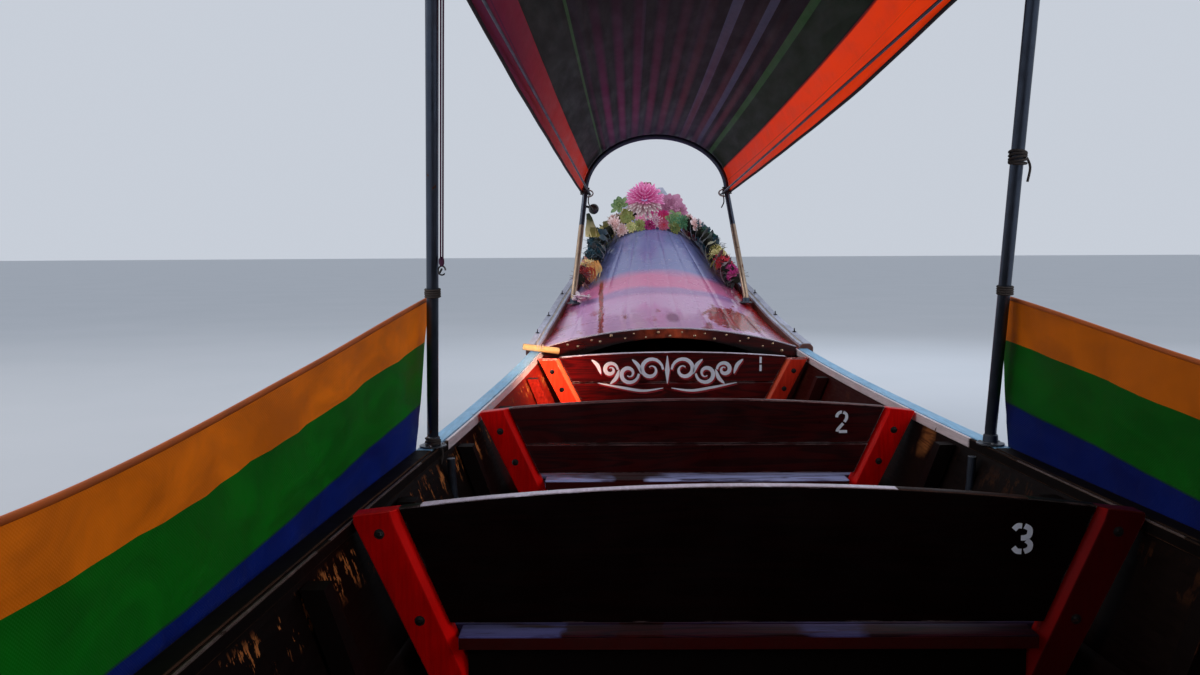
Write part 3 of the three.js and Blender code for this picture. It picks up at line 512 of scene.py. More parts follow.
def make_edge_wear():
    s, given, close = effect("edge_wear", [
        ("Place", "Vector", (0, 0, 0)), ("Width", "Float", 0.004), ("Cover", "Float", 0.5),
        ("Patch size", "Float", 18)], [("Mask", "Float")])
    rounded = s.node("Bevel", {"Radius": given["Width"]}, samples=4)[0]
    facing = s.node("VectorMath", {0: rounded, 1: s.node("NewGeometry")["Normal"]},
        operation="DOT_PRODUCT")["Value"]
    edge = s.between(facing, 0.985, 0.86)
    patches = s.noise(given["Place"], given["Patch size"], 5, 0.65)
    worn = s.between(patches + given["Cover"] * 0.5, 0.56, 0.68)
    return close(Mask=s.math("MULTIPLY", edge, worn, clamp=True))


def make_chips():
    s, given, close = effect("chips", [("Place", "Vector", (0, 0, 0)), ("Size", "Float", 16),
        ("Cover", "Float", 0.2)], [("Mask", "Float")])
    clusters = s.between(s.noise(given["Place"], given["Size"] * 0.17, 2, 0.5), 0.44, 0.72)
    flakes = s.noise(given["Place"], given["Size"], 5, 0.6, 0.5)
    level = flakes * 0.72 + (clusters * 0.28 + given["Cover"] * 0.3)
    return close(Mask=s.between(level, 0.68, 0.7))


def make_grime():
    s, given, close = effect("grime", [("Place", "Vector", (0, 0, 0)), ("Clean", "Color", (1, 1, 1, 1)),
        ("Dirt", "Color", (0.1, 0.08, 0.06, 1)), ("Cover", "Float", 0.4)],
        [("Color", "Color"), ("Mask", "Float")])
    cloud = s.noise(given["Place"], 3.1, 6, 0.62, 0.6)
    streak = s.noise(s.node("Mapping", {0: given["Place"], 3: (9, 9, 1.2)})[0], 2, 4, 0.6)
    mask = s.between(cloud * 0.6 + streak * 0.4, 0.38, 0.7) * given["Cover"]
    return close(Color=s.mix(mask, given["Clean"], given["Dirt"]), Mask=mask)


def make_weave():
    s, given, close = effect("weave", [("Place", "Vector", (0, 0, 0)), ("Threads", "Float", 900)],
        [("Height", "Float")])
    parts = s.split(given["Place"])
    warp = s.math("SINE", parts[0] * given["Threads"])
    weft = s.math("SINE", parts[1] * given["Threads"])
    return close(Height=warp * weft)


EFFECTS = {"wood_grain": make_wood_grain(), "edge_wear": make_edge_wear(), "chips": make_chips(),
    "grime": make_grime(), "weave": make_weave()}


class Finish(Shading):
    """One material: a Principled shader and the effects that feed it."""

    def inside_bow(self, place):
        """Mask of the faces that look inboard beside the first row."""
        parts = self.split(place)
        turned = self.facing()
        inboard = self.most(self.between(turned[0] * parts[0], -0.01, -0.05),
            self.between(turned[1], -0.4, -0.7))
        along = self.between(parts[1], 3.02, 3.22) * self.between(parts[1], 4.26, 4.18)
        return inboard * along

    def bow_red_sunlit_and_shaded(self, place, brushed):
        """Red paint: orange-red to port as painted sunlight, dark red to starboard as painted shade."""
        across = self.split(place)[0]
        # fresh is the orange-red of painted sunlight on the port side
        fresh = self.mix(self.between(brushed, 0.3, 0.75), tone(100, 15, 11), tone(150, 36, 24))
        return self.mix(self.between(across, -0.1, 0.1), fresh, tone(46, 6, 5))

    def __init__(self, name, roughness=0.5, metallic=0, coat=0, coat_roughness=0.08, specular=0.5, sheen=0,
            emission=0):
        self.material = bpy.data.materials.new(name)
        self.material.use_nodes = True
        super().__init__(self.material.node_tree)
        self.shader = self.tree.nodes["Principled BSDF"]
        for key, value in (("Roughness", roughness), ("Metallic", metallic), ("Coat Weight", coat),
                ("Coat Roughness", coat_roughness), ("Specular IOR Level", specular), ("Sheen Weight", sheen),
                ("Emission Strength", emission)):
            self.shader.inputs[key].default_value = value

    def use(self, name, **sockets):
        return self.node("Group", {key.replace("_", " "): value for key, value in sockets.items()},
            node_tree=EFFECTS[name])

    def grain(self, along, light, dark, figure=0.8):
        return self.use("wood_grain", Place=self.place(along), Light=light, Dark=dark, Figure=figure)

    def grime(self, place, clean, dirt, cover):
        return self.use("grime", Place=place, Clean=clean, Dirt=dirt, Cover=cover)["Color"]

    def chips(self, place, size, cover):
        return self.use("chips", Place=place, Size=size, Cover=cover)["Mask"]

    def edge_wear(self, place, width, cover, patch_size):
        return self.use("edge_wear", Place=place, Width=width, Cover=cover, Patch_size=patch_size)["Mask"]

    def feed(self, bump=None, strength=0.3, distance=0.001, **sockets):
        """Links values to the shader's own sockets, and a height to its normal."""
        if bump is not None:
            sockets["Normal"] = self.node("Bump", {"Strength": strength, "Distance": distance,
                "Height": bump})[0]
        for key, value in sockets.items():
            self.tree.links.new(value.socket, self.shader.inputs[key.replace("_", " ")])
        return self.material


def tone(red, green, blue):
    """Colour from screen values of 0 to 255."""
    def linear(v):
        v /= 255
        return v / 12.92 if v <= 0.04045 else ((v + 0.055) / 1.055) ** 2.4
    return (linear(red), linear(green), linear(blue), 1)


def dim(shade, share):
    return (*(share * c for c in shade[:3]), 1)


ALONG_BOAT = (9, 0.7, 9)
ACROSS_BOAT = (0.8, 9, 9)


def varnished_wood(name, light, dark, along=ACROSS_BOAT, roughness=0.34, coat=0.5, wear=0.35, worn=None,
        figure=1, specular=0.5, dirt=0.45):
    """Clear varnish over wood: grain, worn edges and dirt."""
    f = Finish(name, coat=coat, coat_roughness=0.06, specular=specular)
    place = f.place()
    grain = f.grain(along, light, dark, figure)
    shade = f.grime(place, grain["Color"], tone(18, 10, 8), dirt)
    edge = f.edge_wear(place, 0.004, wear, 14)
    shade = f.mix(edge, shade, worn or light)
    rough = f.between(f.noise(place, 9, 4), 0.3, 0.7, roughness - 0.1, roughness + 0.14) + edge * 0.25
    return f.feed(bump=grain["Height"], strength=0.22, distance=0.0006, Base_Color=shade, Roughness=rough)


def painted_wood(name, paint, wood, roughness=0.42, wear=0.45, cover=0.1, chip_size=16, dirt=0.4, coat=0.15,
        specular=0.5, red_bow_lit_and_shaded=False):
    """Brushed paint over wood: chips to the wood, worn edges and dirt."""
    f = Finish(name, coat=coat, coat_roughness=0.12, specular=specular)
    place = f.place()
    grain = f.grain(ALONG_BOAT, wood, dim(wood, 0.45))
    brushed = f.noise(f.place(tuple(3 * c for c in ALONG_BOAT)), 5, 3, 0.6)
    coat_shade = f.mix(f.between(brushed, 0.3, 0.75), dim(paint, 0.74), paint)
    # Red paint beside the first row, with painted sunlight to port and painted shade to starboard
    if red_bow_lit_and_shaded:
        coat_shade = f.mix(f.inside_bow(place), coat_shade, f.bow_red_sunlit_and_shaded(place, brushed))
    painted = f.grime(place, coat_shade, tone(34, 24, 20), dirt)
    chips = f.chips(place, chip_size, cover)
    edge = f.edge_wear(place, 0.0045, wear, 20)
    bare = f.most(chips, edge)
    shade = f.mix(bare, painted, grain["Color"])
    rough = f.between(f.noise(place, 11, 4), 0.3, 0.7, roughness - 0.08, roughness + 0.14) + bare * 0.3
    height = brushed * 0.35 + bare * -1
    return f.feed(bump=height, strength=0.35, distance=0.0008, Base_Color=shade, Roughness=rough)


def metal(name, shade, rust, roughness=0.42, metallic=0.85, cover=0.12, dirt=0.3, wear=0.4, bare=None):
    """Painted or plated metal: rust spots, edges rubbed bright, dust."""
    f = Finish(name, metallic=metallic)
    place = f.place()
    mottled = f.mix(f.between(f.noise(place, 34, 5, 0.6), 0.3, 0.7), dim(shade, 0.8), shade)
    dusty = f.grime(place, mottled, tone(60, 50, 42), dirt)
    spots = f.chips(place, 28, cover)
    edge = f.edge_wear(place, 0.003, wear, 40)
    colour = f.mix(edge, f.mix(spots, dusty, rust), bare or tone(150, 150, 152))
    rough = f.between(f.noise(place, 18, 4), 0.3, 0.7, roughness - 0.1, roughness + 0.12) + spots * 0.3
    height = f.noise(place, 90, 3) * 0.4 + spots * 0.6
    return f.feed(bump=height, strength=0.25, distance=0.0006, Base_Color=colour, Roughness=rough)


def moulded(name, shade, roughness=0.4, speckle=0.12, coat=0, bump_scale=160):
    """Plastic, rubber, rope or yarn in one colour with a fine surface."""
    f = Finish(name, roughness=roughness, coat=coat)
    place = f.place()
    fine = f.noise(place, bump_scale, 3, 0.6)
    colour = f.mix(f.between(f.noise(place, 12, 4), 0.3, 0.7, 0, 1), dim(shade, 1 - speckle * 2), shade)
    dusty = f.grime(place, colour, tone(70, 62, 54), 0.25)
    rough = f.between(fine, 0.2, 0.8, roughness - 0.08, roughness + 0.1)
    return f.feed(bump=fine, strength=0.3, distance=0.0005, Base_Color=dusty, Roughness=rough)


PALE_EDGE = tone(206, 176, 178)


def make_hull_paint():
    """Near-black brown paint inside and out, flaked to orange wood in a line under the gunwale."""
    f = Finish("hull_paint", specular=0.06)
    place = f.place()
    grain = f.grain(ALONG_BOAT, tone(196, 122, 66), tone(104, 52, 28))
    brushed = f.noise(f.place((30, 2, 30)), 5, 3, 0.6)
    paint = f.mix(f.between(brushed, 0.3, 0.75), tone(8, 3, 3), tone(17, 7, 6))
    # Red paint beside the first row, with painted sunlight to port and painted shade to starboard
    paint = f.mix(f.inside_bow(place), paint, f.bow_red_sunlit_and_shaded(place, brushed))
    painted = f.grime(place, paint, tone(34, 22, 16), 0.2)
    below = f.split(f.node("TexCoord")["UV"])[1]
    line = f.between(below, 0.004, 0.022) * f.between(below, 0.085, 0.055)
    flakes = f.chips(f.place((1, 1.2, 0.5)), 60, 0.02)
    strong = f.chips(f.place((1, 1.4, 0.42)), 132, 0.47)
    parts = f.split(place)
    to_port = f.between(parts[0], 0.1, -0.1, 0.06, 1)
    bare = f.most(strong * line, flakes * 0.5)
    bare = bare * to_port
    spot = f.distance(place, (1, 1, 0.6), (0.61, 2.89, 0.6 * 0.47))
    spot = spot + (f.noise(place, 22, 4) - 0.5) * 0.05
    bare = f.most(bare, f.between(spot, 0.046, 0.016, 0, 0.42))
    shade = f.mix(bare, painted, grain["Color"])
    height = brushed * 0.35 + bare * -1
    rough = f.between(brushed, 0.3, 0.7, 0.42, 0.6) + bare * 0.25
    return f.feed(bump=height, strength=0.35, distance=0.0008, Base_Color=shade, Roughness=rough)


hull_paint = make_hull_paint()
frame_paint = painted_wood("frame_paint", tone(12, 5, 5), tone(90, 50, 30), roughness=0.55, wear=0,
    cover=-0.2, coat=0, specular=0.06, dirt=0.15, red_bow_lit_and_shaded=True)
wale_paint = painted_wood("wale_paint", tone(120, 24, 16), tone(170, 120, 80), cover=0.1)
# First, second and further boards: light and dark of the wood, wear, shine; the boards further aft are darker
# as painted shade
BOARD_WOOD_AND_SHADE = [
    (tone(86, 6, 6), tone(34, 3, 4), 0.3, 0.14), (tone(58, 5, 7), tone(24, 2, 4), 0.3, 0.14),
    (tone(15, 3, 3), tone(6, 1, 1), 0.1, 0.06),
]
board_varnish = [varnished_wood(f"board_varnish_{k + 1}", light, dark, coat=0.04, roughness=0.36, wear=wear,
    worn=PALE_EDGE, specular=shine, dirt=0.2) for k, (light, dark, wear, shine) in enumerate(BOARD_WOOD_AND_SHADE)]


def make_stile_red(name, deep, fresh, chamfer):
    """Red gloss paint, pale at worn corners, with a painted highlight on the inboard chamfer and painted
    shade on the aft starboard stiles.
    """
    f = Finish(name, coat=0.02, coat_roughness=0.1, specular=0.07)
    place = f.place()
    sideways = abs(f.facing()[0])
    brushed = f.noise(f.place((30, 30, 2.4)), 5, 3, 0.6)
    face = f.mix(f.between(brushed, 0.3, 0.75), deep, fresh)
    # The inboard chamfer's brighter red is a painted highlight
    shade = f.mix(f.between(sideways, 0.35, 0.6), face, chamfer)
    parts = f.split(place)
    # Painted shade on the starboard stiles from the third row aft
    starboard_shade = f.between(parts[0], -0.1, 0.1) * f.between(parts[1], 2.7, 2.3)
    shade = f.mix(starboard_shade * f.between(sideways, 0.35, 0.6, 0.93, 0.72), shade, tone(48, 3, 5))
    shade = f.grime(place, shade, tone(38, 8, 8), 0.5)
    chips = f.chips(place, 26, -0.16)
    edge = f.edge_wear(place, 0.0022, 0.3, 30)
    bare = f.most(chips, edge)
    shade = f.mix(bare, shade, tone(226, 170, 168))
    rough = f.between(f.noise(place, 11, 4), 0.3, 0.7, 0.28, 0.48) + bare * 0.25
    return f.feed(bump=brushed * 0.35 - bare, strength=0.35, distance=0.0008, Base_Color=shade,
        Roughness=rough)


def make_bench_varnish():
    """Dark seat wood with a painted pale blue reflection of the sky, torn open along the front."""
    f = Finish("bench_varnish", coat=0, specular=0.03)
    place = f.place()
    grain = f.grain(ACROSS_BOAT, tone(56, 14, 16), tone(18, 5, 6), 1)
    streaks = f.noise(f.place((2.2, 16, 16)), 2.6, 5, 0.62, 0.4)
    gaps = f.noise(f.place((1, 1.3, 1)), 3.4, 3, 0.5)
    across, along, _ = f.split(place)
    torn = across + (f.noise(place, 16, 3) - 0.5) * 0.05
    break_two = f.between(torn, -0.235, -0.225) * f.between(torn, -0.125, -0.145)
    dim_three = f.between(torn, -0.335, -0.325) * f.between(along, 2.1, 2)
    patch = f.between(torn, 0.085, 0.11) * f.between(torn, 0.225, 0.205, 0, 0.6)
    dim_three = dim_three * (1 - patch)
    left = 1 - f.most(break_two, dim_three * 0.97)
    # Painted reflection of the sky along the seats' front
    sky_reflection = f.between(streaks, 0.36, 0.5) * (left * f.between(gaps, 0.36, 0.46))
    depth = f.math("FRACT", along + 7.5)
    sky_reflection = sky_reflection * f.between(depth, 0.56, 0.5, 0.22, 1)
    reflection_colour = f.mix(streaks, tone(118, 122, 186), tone(196, 204, 250))
    # Painted shade: the reflection is dimmer on the benches further aft
    reflection_colour = f.mix(f.between(along, 2.4, 2.2), reflection_colour, f.mix(streaks, tone(62, 62, 112), tone(100, 100, 156)))
    shade = f.mix(sky_reflection * 0.95, grain["Color"], reflection_colour)
    rough = f.between(sky_reflection, 0, 1, 0.42, 0.46)
    return f.feed(bump=grain["Height"], strength=0.2, distance=0.0006, Base_Color=shade, Roughness=rough)


stile_red = make_stile_red("stile_red", tone(186, 0, 0), tone(222, 2, 2), tone(250, 4, 2))
# The first row's stiles: the same red paint, lighter and orange as painted sunlight
stile_red_sunlit = make_stile_red("stile_red_sunlit", tone(214, 44, 24), tone(242, 62, 36), tone(255, 96, 62))
bench_varnish = make_bench_varnish()
floor_boards = varnished_wood("floor_boards", tone(66, 50, 40), tone(30, 22, 18), along=ALONG_BOAT,
    roughness=0.66, coat=0, specular=0.2)
cap_blue = painted_wood("cap_blue", tone(136, 196, 238), tone(120, 96, 84), roughness=0.45, cover=-0.12,
    wear=0.35, dirt=0.22, specular=0.3)
cap_white = painted_wood("cap_white", tone(232, 218, 226), tone(90, 60, 48), roughness=0.4, cover=-0.1,
    dirt=0.15)
cap_black = painted_wood("cap_black", tone(13, 8, 8), tone(120, 84, 62), roughness=0.58, cover=-0.08,
    specular=0.08, coat=0, dirt=0.15)
worn_line = painted_wood("worn_line", tone(236, 228, 250), tone(96, 66, 60), cover=0.08, chip_size=40,
    specular=0.3)
edge_grey = painted_wood("edge_grey", tone(126, 112, 108), tone(60, 40, 34), cover=0.15, chip_size=40,
    specular=0.2)
# Dark top edge colour, a painted shade
shaded_edge_line = painted_wood("shaded_edge_line", tone(34, 16, 15), tone(70, 46, 38), cover=0, chip_size=40,
    specular=0.06, coat=0)
faint_line = painted_wood("faint_line", tone(74, 22, 26), tone(150, 110, 110), cover=0, chip_size=40,
    specular=0.2)
nosing_red = painted_wood("nosing_red", tone(62, 2, 3), tone(90, 40, 34), roughness=0.4, cover=-0.2, wear=0,
    specular=0.2)
rail_grey = painted_wood("rail_grey", tone(186, 192, 216), tone(108, 80, 64), roughness=0.48, cover=0.02,
    chip_size=30, dirt=0.55)
rail_brown = painted_wood("rail_brown", tone(96, 44, 32), tone(170, 120, 84), cover=0.12)
stern_wood = painted_wood("stern_wood", tone(84, 44, 30), tone(160, 124, 92), cover=0.12, dirt=0.6)
pipe_dark = metal("pipe_dark", tone(74, 84, 100), tone(92, 56, 38), roughness=0.38, cover=0.06)
# Pale steel of the front hoop's legs, a painted light
pipe_pale_lit = metal("pipe_pale_lit", tone(182, 160, 140), tone(120, 78, 54), roughness=0.42, cover=0.12)
bolt_dark = metal("bolt_dark", tone(20, 14, 14), tone(60, 26, 18), roughness=0.55, metallic=0.4, wear=0,
    dirt=0.1)
brass_nail = metal("brass_nail", tone(214, 178, 140), tone(120, 80, 50), roughness=0.3, metallic=0.9, cover=0)
stencil_white = moulded("stencil_white", tone(236, 240, 255), roughness=0.5, speckle=0.08)
bamboo_skin = varnished_wood("bamboo_skin", tone(214, 188, 136), tone(170, 136, 86), along=ACROSS_BOAT,
    roughness=0.4, coat=0.3, figure=0.4)
bamboo_core = varnished_wood("bamboo_core", tone(120, 74, 40), tone(54, 32, 20), roughness=0.7, coat=0)
rope_pale = moulded("rope_pale", tone(190, 180, 166), roughness=0.85, bump_scale=420)
rope_purple = moulded("rope_purple", tone(86, 26, 70), roughness=0.8, bump_scale=420)
ball_black = moulded("ball_black", tone(16, 15, 18), roughness=0.35, coat=0.3)
tank_blue = moulded("tank_blue", tone(30, 62, 160), roughness=0.36)
rubber = moulded("rubber", tone(24, 24, 25), roughness=0.6)
engine_paint = metal("engine_paint", tone(52, 78, 74), tone(84, 50, 32), roughness=0.46, metallic=0.35,
    cover=0.1, dirt=0.5)
steel_paint = metal("steel_paint", tone(58, 70, 84), tone(96, 56, 36), roughness=0.44, metallic=0.45,
    cover=0.1)
exhaust_rust = metal("exhaust_rust", tone(96, 66, 50), tone(128, 66, 34), roughness=0.66, metallic=0.5,
    cover=0.4)
bright_steel = metal("bright_steel", tone(150, 152, 156), tone(110, 80, 60), roughness=0.26, metallic=0.95,
    cover=0)
propeller_bronze = metal("propeller_bronze", tone(196, 150, 78), tone(90, 96, 70), roughness=0.3,
    metallic=0.95, cover=0.1, bare=tone(230, 190, 120))


# Hull

SEAMS = (0.13, 0.3, 0.47, 0.64, 0.82)
SEAM_WIDTH = 0.0035
SEAM_DEPTH = 0.003


def plank_line(corners, end_share, into):
    """Points up a side curve, with a groove at each seam between two planks."""
    length = max(0.05, (corners[2] - corners[0]).length)
    points, last = [], 0
    for seam in SEAMS + (1,):
        t = seam * end_share
        reach = SEAM_WIDTH / length if seam < 1 else 0
        points += [bezier(corners, lerp(last, t - reach, i / 4)) for i in range(5)]
        if seam < 1:
            here, ahead = bezier(corners, t), bezier(corners, t + reach)
            along = (ahead - here).normalized()
            points.append(here + into * SEAM_DEPTH * Vector((along.y, -along.x)))
            last = t + reach
    return points


def wale_low(y):
    """Lower edge of the wale, where the planks outside end."""
    _, _, _, sheer, keel, _ = side_curves(y)
    return sheer - min(WALE_DEPTH, 0.5 * (sheer - keel))


def planking(name, side, start, end):
    rings, below_sheer = [], []
    for y in spread(start, end, 0.125):
        outer, inner, beam, sheer, _, _ = side_curves(y)
        ring = plank_line(outer, climb(outer, wale_low(y)), -1) + [Vector((beam, sheer))]
        ring += plank_line(inner, 1, 1)[::-1]
        rings.append([(side * p.x, y, p.y) for p in ring])
        below_sheer += [(y, sheer - p.y) for p in ring]
    Parts().loft(rings).make(name, hull_paint, "hull_paint", solid=name, uvs=below_sheer)


def strip(name, word, start, end, section, material, slot, solid=None, soft=0.0025):
    """Long plank on one side of the boat, with a section of (across, up) points at each place."""
    rings = [[(SIDES[word] * x, y, z) for x, z in section(y)] for y in spread(start, end, 0.1)]
    strip_mesh = Parts().loft(rings)
    return soften(strip_mesh.make(f"{name}_{word}", material, slot, solid=solid and f"{solid}_{word}"), soft)


def wale_section(y):
    beam, sheer, low, out = beam_at(y), sheer_at(y), wale_low(y), WALE_PROUD
    wall = width_at(y, low, inside=False)
    return [(wall + 0.0006, low), (wall + out - 0.004, low + 0.003), (wall + out, low + 0.009),
        (beam + out, sheer - 0.004), (beam + out - 0.004, sheer), (beam + 0.0006, sheer)]


def cap_outer_section(y):
    return oblong(beam_at(y) - CAP_SEAM + SEAM_HALF, beam_at(y) + CAP_OUT, cap_top(y) - CAP, cap_top(y))


def cap_inner_section(y):
    return oblong(beam_at(y) - CAP_IN, beam_at(y) - CAP_SEAM - SEAM_HALF, cap_top(y) - CAP,
        cap_top(y) - 0.0006)


def edge_line_section(y):
    edge, top = beam_at(y) - CAP_IN, cap_top(y)
    return oblong(edge - 0.0006, edge + 0.004, top - 0.003, top + 0.0004)


# Stretches of the caps' inner edge where the paint has worn to grey
EDGE_LINES = ((-6.2, -3.1), (-3, -0.7), (-0.6, 0.95), (1.02, 1.82), (1.88, 2.44))

for word, side in SIDES.items():
    planking(f"planking_stern_{word}", side, -6.25, -2)
    planking(f"planking_middle_{word}", side, -2 + GAP, 2.5)
    planking(f"planking_bow_{word}", side, 2.5 + GAP, 6.25)
    strip("wale", word, -6.25, 6.25, wale_section, wale_paint, "trim_paint", soft=0.0015)
    strip("cap_outer_fore", word, CAP_JOINT, DECK_END - GAP, cap_outer_section, cap_blue, "cap_light_blue",
        "gunwale_fore")
    strip("cap_inner_fore", word, CAP_JOINT + 0.11, DECK_END - GAP, cap_inner_section, cap_white,
        "cap_light_blue", "gunwale_fore")
    strip("cap_outer_aft", word, -6.25, CAP_JOINT - GAP, cap_outer_section, cap_black, "cap_dark",
        "gunwale_aft")
    strip("cap_inner_aft", word, -6.25, CAP_JOINT + 0.108, cap_inner_section, cap_black, "cap_dark",
        "gunwale_aft")
    for k, (start, end) in enumerate(EDGE_LINES):
        strip(f"cap_edge_{k + 1}", word, start, end, edge_line_section, edge_grey, "cap_dark", soft=0.0008)

for name, material in (("keel_and_stem", wale_paint), ("transom", wale_paint), ("framing", frame_paint),
        ("stern_deck", stern_wood), ("driver_seat", bench_varnish)):
    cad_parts[name].data.materials.clear()
    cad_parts[name].data.materials.append(material)


# Floorboards

def rib_width(y, z):
    return width_at(y, z) - RIB - 0.001


FLOOR_LOW, FLOOR_TOP = -0.105, -0.08
FLOOR_PLANKS = 8

floor = Parts()
for k in range(FLOOR_PLANKS):
    for start, end in ((-4.96, -1.9), (-1.895, 1.2), (1.205, 3.8)):
        rings = []
        for y in spread(start, end, 0.4):
            half = rib_width(y, FLOOR_LOW) - 0.016
            left = lerp(-half, half, k / FLOOR_PLANKS) + 0.0025
            right = lerp(-half, half, (k + 1) / FLOOR_PLANKS) - 0.0025
            rings.append([(left, y, FLOOR_LOW), (right, y, FLOOR_LOW), (right, y, FLOOR_TOP),
                (left, y, FLOOR_TOP)])
        floor.loft(rings)
soften(floor.make("floor_planks", floor_boards, "floor_wood", solid="floorboards"), 0.003)


# Bow: toe rails, foredeck and coaming

def rail_height(y):
    t = min(1, max(0, (y - DECK_END) / (4.6 - DECK_END)))
    return lerp(0.042, 0.055, t * t * (3 - 2 * t))


def rail_sizes(y, inset, reach):
    """A rail's inner face, beam, foot and top. The inner face never comes inside the keel's sides."""
    inside = max(side_curves(y)[5] + inset, beam_at(y) + reach)
    return inside, beam_at(y), sheer_at(y) + GAP, sheer_at(y) + rail_height(y)


def rail_outer_section(y):
    inside, beam, low, top = rail_sizes(y, 0.017, 0.01)
    return [(inside, low), (beam + 0.02, low), (beam + RAIL_OUT, low + 0.014), (beam + RAIL_OUT, top),
        (inside, top)]


def rail_inner_section(y):
    inside, _, low, top = rail_sizes(y, 0.002, -RAIL_IN)
    return oblong(inside, inside + 0.015, low, top - 0.001)


def rail_brown_section(y):
    inside, _, low, top = rail_sizes(y, 0.002, -RAIL_IN)
    return oblong(inside - 0.002, inside, low + 0.022, top - 0.01)


def eye_bolt(parts, centre, along):
    """Small eye standing on the rail."""
    along = Vector(along).normalized()
    up = Vector(UP)
    parts.turned([(0.009, 0), (0.009, 0.0015), (0.004, 0.003), (0.003, 0.005)], centre, up, 14)
    middle = Vector(centre) + up * 0.0095
    return parts.tube([middle + 0.0055 * (along * cos(a) + up * sin(a)) for a in around(14, 15)], 0.0018, 6)


for word, side in SIDES.items():
    strip("toe_rail_outer", word, DECK_END + 0.02, 6.24, rail_outer_section, rail_grey, "rail_grey",
        "toe_rail", 0.004)
    strip("toe_rail_inner", word, DECK_END + 0.012, 6.24, rail_inner_section, rail_grey, "rail_grey",
        "toe_rail", 0.003)
    strip("toe_rail_face", word, DECK_END + 0.02, 5.9, rail_brown_section, rail_brown, "rail_grey",
        soft=0.0006)
    groove = [(side * (beam_at(y) + 0.0075), y, sheer_at(y) + rail_height(y) - 0.005 + 0.0015 * sin(31 * y))
        for y in spread(DECK_END + 0.05, 6.2, 0.05)]
    Parts().tube(groove, 0.0036, 8).make(f"rail_rope_{word}", rope_pale, "rail_grey")
    end = Parts()
    y = DECK_END + 0.001
    beam, sheer, top = beam_at(y), sheer_at(y), sheer_at(y) + rail_height(y) + 0.0015
    profile = [(beam - 0.012, sheer + GAP), (beam + RAIL_OUT + 0.002, sheer + GAP),
        (beam + RAIL_OUT + 0.002, top - 0.012), (beam + 0.03, top), (beam + 0.002, top),
        (beam - 0.012, top - 0.014)]
    end.loft([[(side * x, y - 0.004, z) for x, z in profile], [(side * x, y + 0.02, z) for x, z in profile]])
    soften(end.make(f"rail_end_{word}", rail_brown, "rail_grey"), 0.005, 3)
    eyes = Parts()
    for y in spread(4.42, 5.9, 0.27):
        eye_bolt(eyes, (side * (beam_at(y) + 0.028), y, sheer_at(y) + rail_height(y) - 0.0005), (0, 1, 0.3))
    eyes.make(f"rail_eyes_{word}", bolt_dark, "pipe_steel")


def foredeck():
    planks, groove, parts = 9, 0.0016, Parts()
    cuts = []
    for k in range(planks):
        left, right = k / planks, (k + 1) / planks
        cuts += [(left + 0.004, 0), *[(lerp(left, right, s), 0) for s in (0.25, 0.5, 0.75)],
            (right - 0.004, 0), (right, groove)]
    cuts = [(0, 0)] + cuts[:-1] + [(1, 0)]
    rings = []
    for y in spread(DECK_END + GAP, DECK_TIP, 0.08):
        half = beam_at(y) - RAIL_IN - 2 * GAP
        upper = [(lerp(-half, half, f), y, deck_top(lerp(-half, half, f), y) - drop) for f, drop in cuts]
        lower = [(lerp(-half, half, f), y, deck_top(lerp(-half, half, f), y) - DECK_THICKNESS)
            for f in (1, 0.8, 0.6, 0.4, 0.2, 0)]
        rings.append(upper + lower)
    parts.loft(rings)
    parts.make("foredeck_planks", deck_varnish, "deck_varnish", solid="foredeck", sharp_angle=50)


def make_deck_varnish():
    """Thick varnish on red wood: a painted lilac and rose reflection of the sky in bands along the deck, and
    clear red by the rails.
    """
    f = Finish("deck_varnish", coat=0.45, coat_roughness=0.05, specular=0.25)
    place = f.place()
    parts = f.split(place)
    grain = f.grain(ALONG_BOAT, tone(176, 22, 26), tone(104, 10, 12))
    wander = (f.noise(place, 3, 4) - 0.5) * 0.16
    along = parts[1] + wander
    # cloud is the painted reflection of the sky, and clear is where the red shows without it
    lilac, rose, pale = tone(128, 142, 204), tone(226, 134, 184), tone(214, 168, 218)
    cloud = f.mix(f.between(along, 5.04, 5.12), rose, lilac)
    cloud = f.mix(f.between(along, 4.8, 4.84), pale, cloud)
    line = f.between(along, 4.8, 4.84) * f.between(along, 4.92, 4.88)
    cloud = f.mix(line * 0.6, cloud, lilac)
    rail = abs(parts[0] + wander * 1.4)
    to_port = f.between(parts[0], -0.1, -0.3, 0, -0.06)
    edge = f.between(rail + to_port + f.between(along, 4.2, 5.6, 0, 0.16), 0.38, 0.48)
    patches = f.between(f.noise(f.place((7, 2.4, 7)), 1.5, 4, 0.6), 0.6, 0.66, 0, 0.8)
    clear = f.most(edge, patches * f.between(along, 4.75, 4.6))
    ragged = parts[0] + (f.noise(place, 24, 3) - 0.5) * 0.02
    streak = f.between(abs(ragged + 0.272), 0.012, 0.008)
    streak = streak * f.between(parts[1], 5.12, 5.06)
    spot = f.distance(place, (1, 0.55, 0), (0.3, 0.55 * 4.52, 0))
    spot = spot + (f.noise(f.place((2, 1, 2)), 16, 4) - 0.5) * 0.16
    clear = f.most(clear, f.most(streak, f.between(spot, 0.13, 0.11)))
    # A plum patch in the painted reflection
    reflection_patch = f.distance(place, (1, 0.3, 0), (0.03, 0.3 * 4.43, 0))
    cloud = f.mix(f.between(reflection_patch, 0.034, 0.02, 0, 0.75), cloud, tone(140, 70, 128))
    shade = f.mix((1 - clear) * 0.92, grain["Color"], cloud)
    specks = f.between(f.noise(place, 130, 1, 0.3), 0.74, 0.76)
    shade = f.mix(specks, shade, tone(236, 226, 234))
    rough = f.between(f.noise(place, 6, 4), 0.3, 0.7, 0.2, 0.36)
    return f.feed(bump=f.noise(f.place((5, 1.5, 5)), 6, 3), strength=0.25, distance=0.0012, Base_Color=shade,
        Roughness=rough)


deck_varnish = make_deck_varnish()
foredeck()

MOUTH_TOP, MOUTH_DROP = 0.634, 0.57


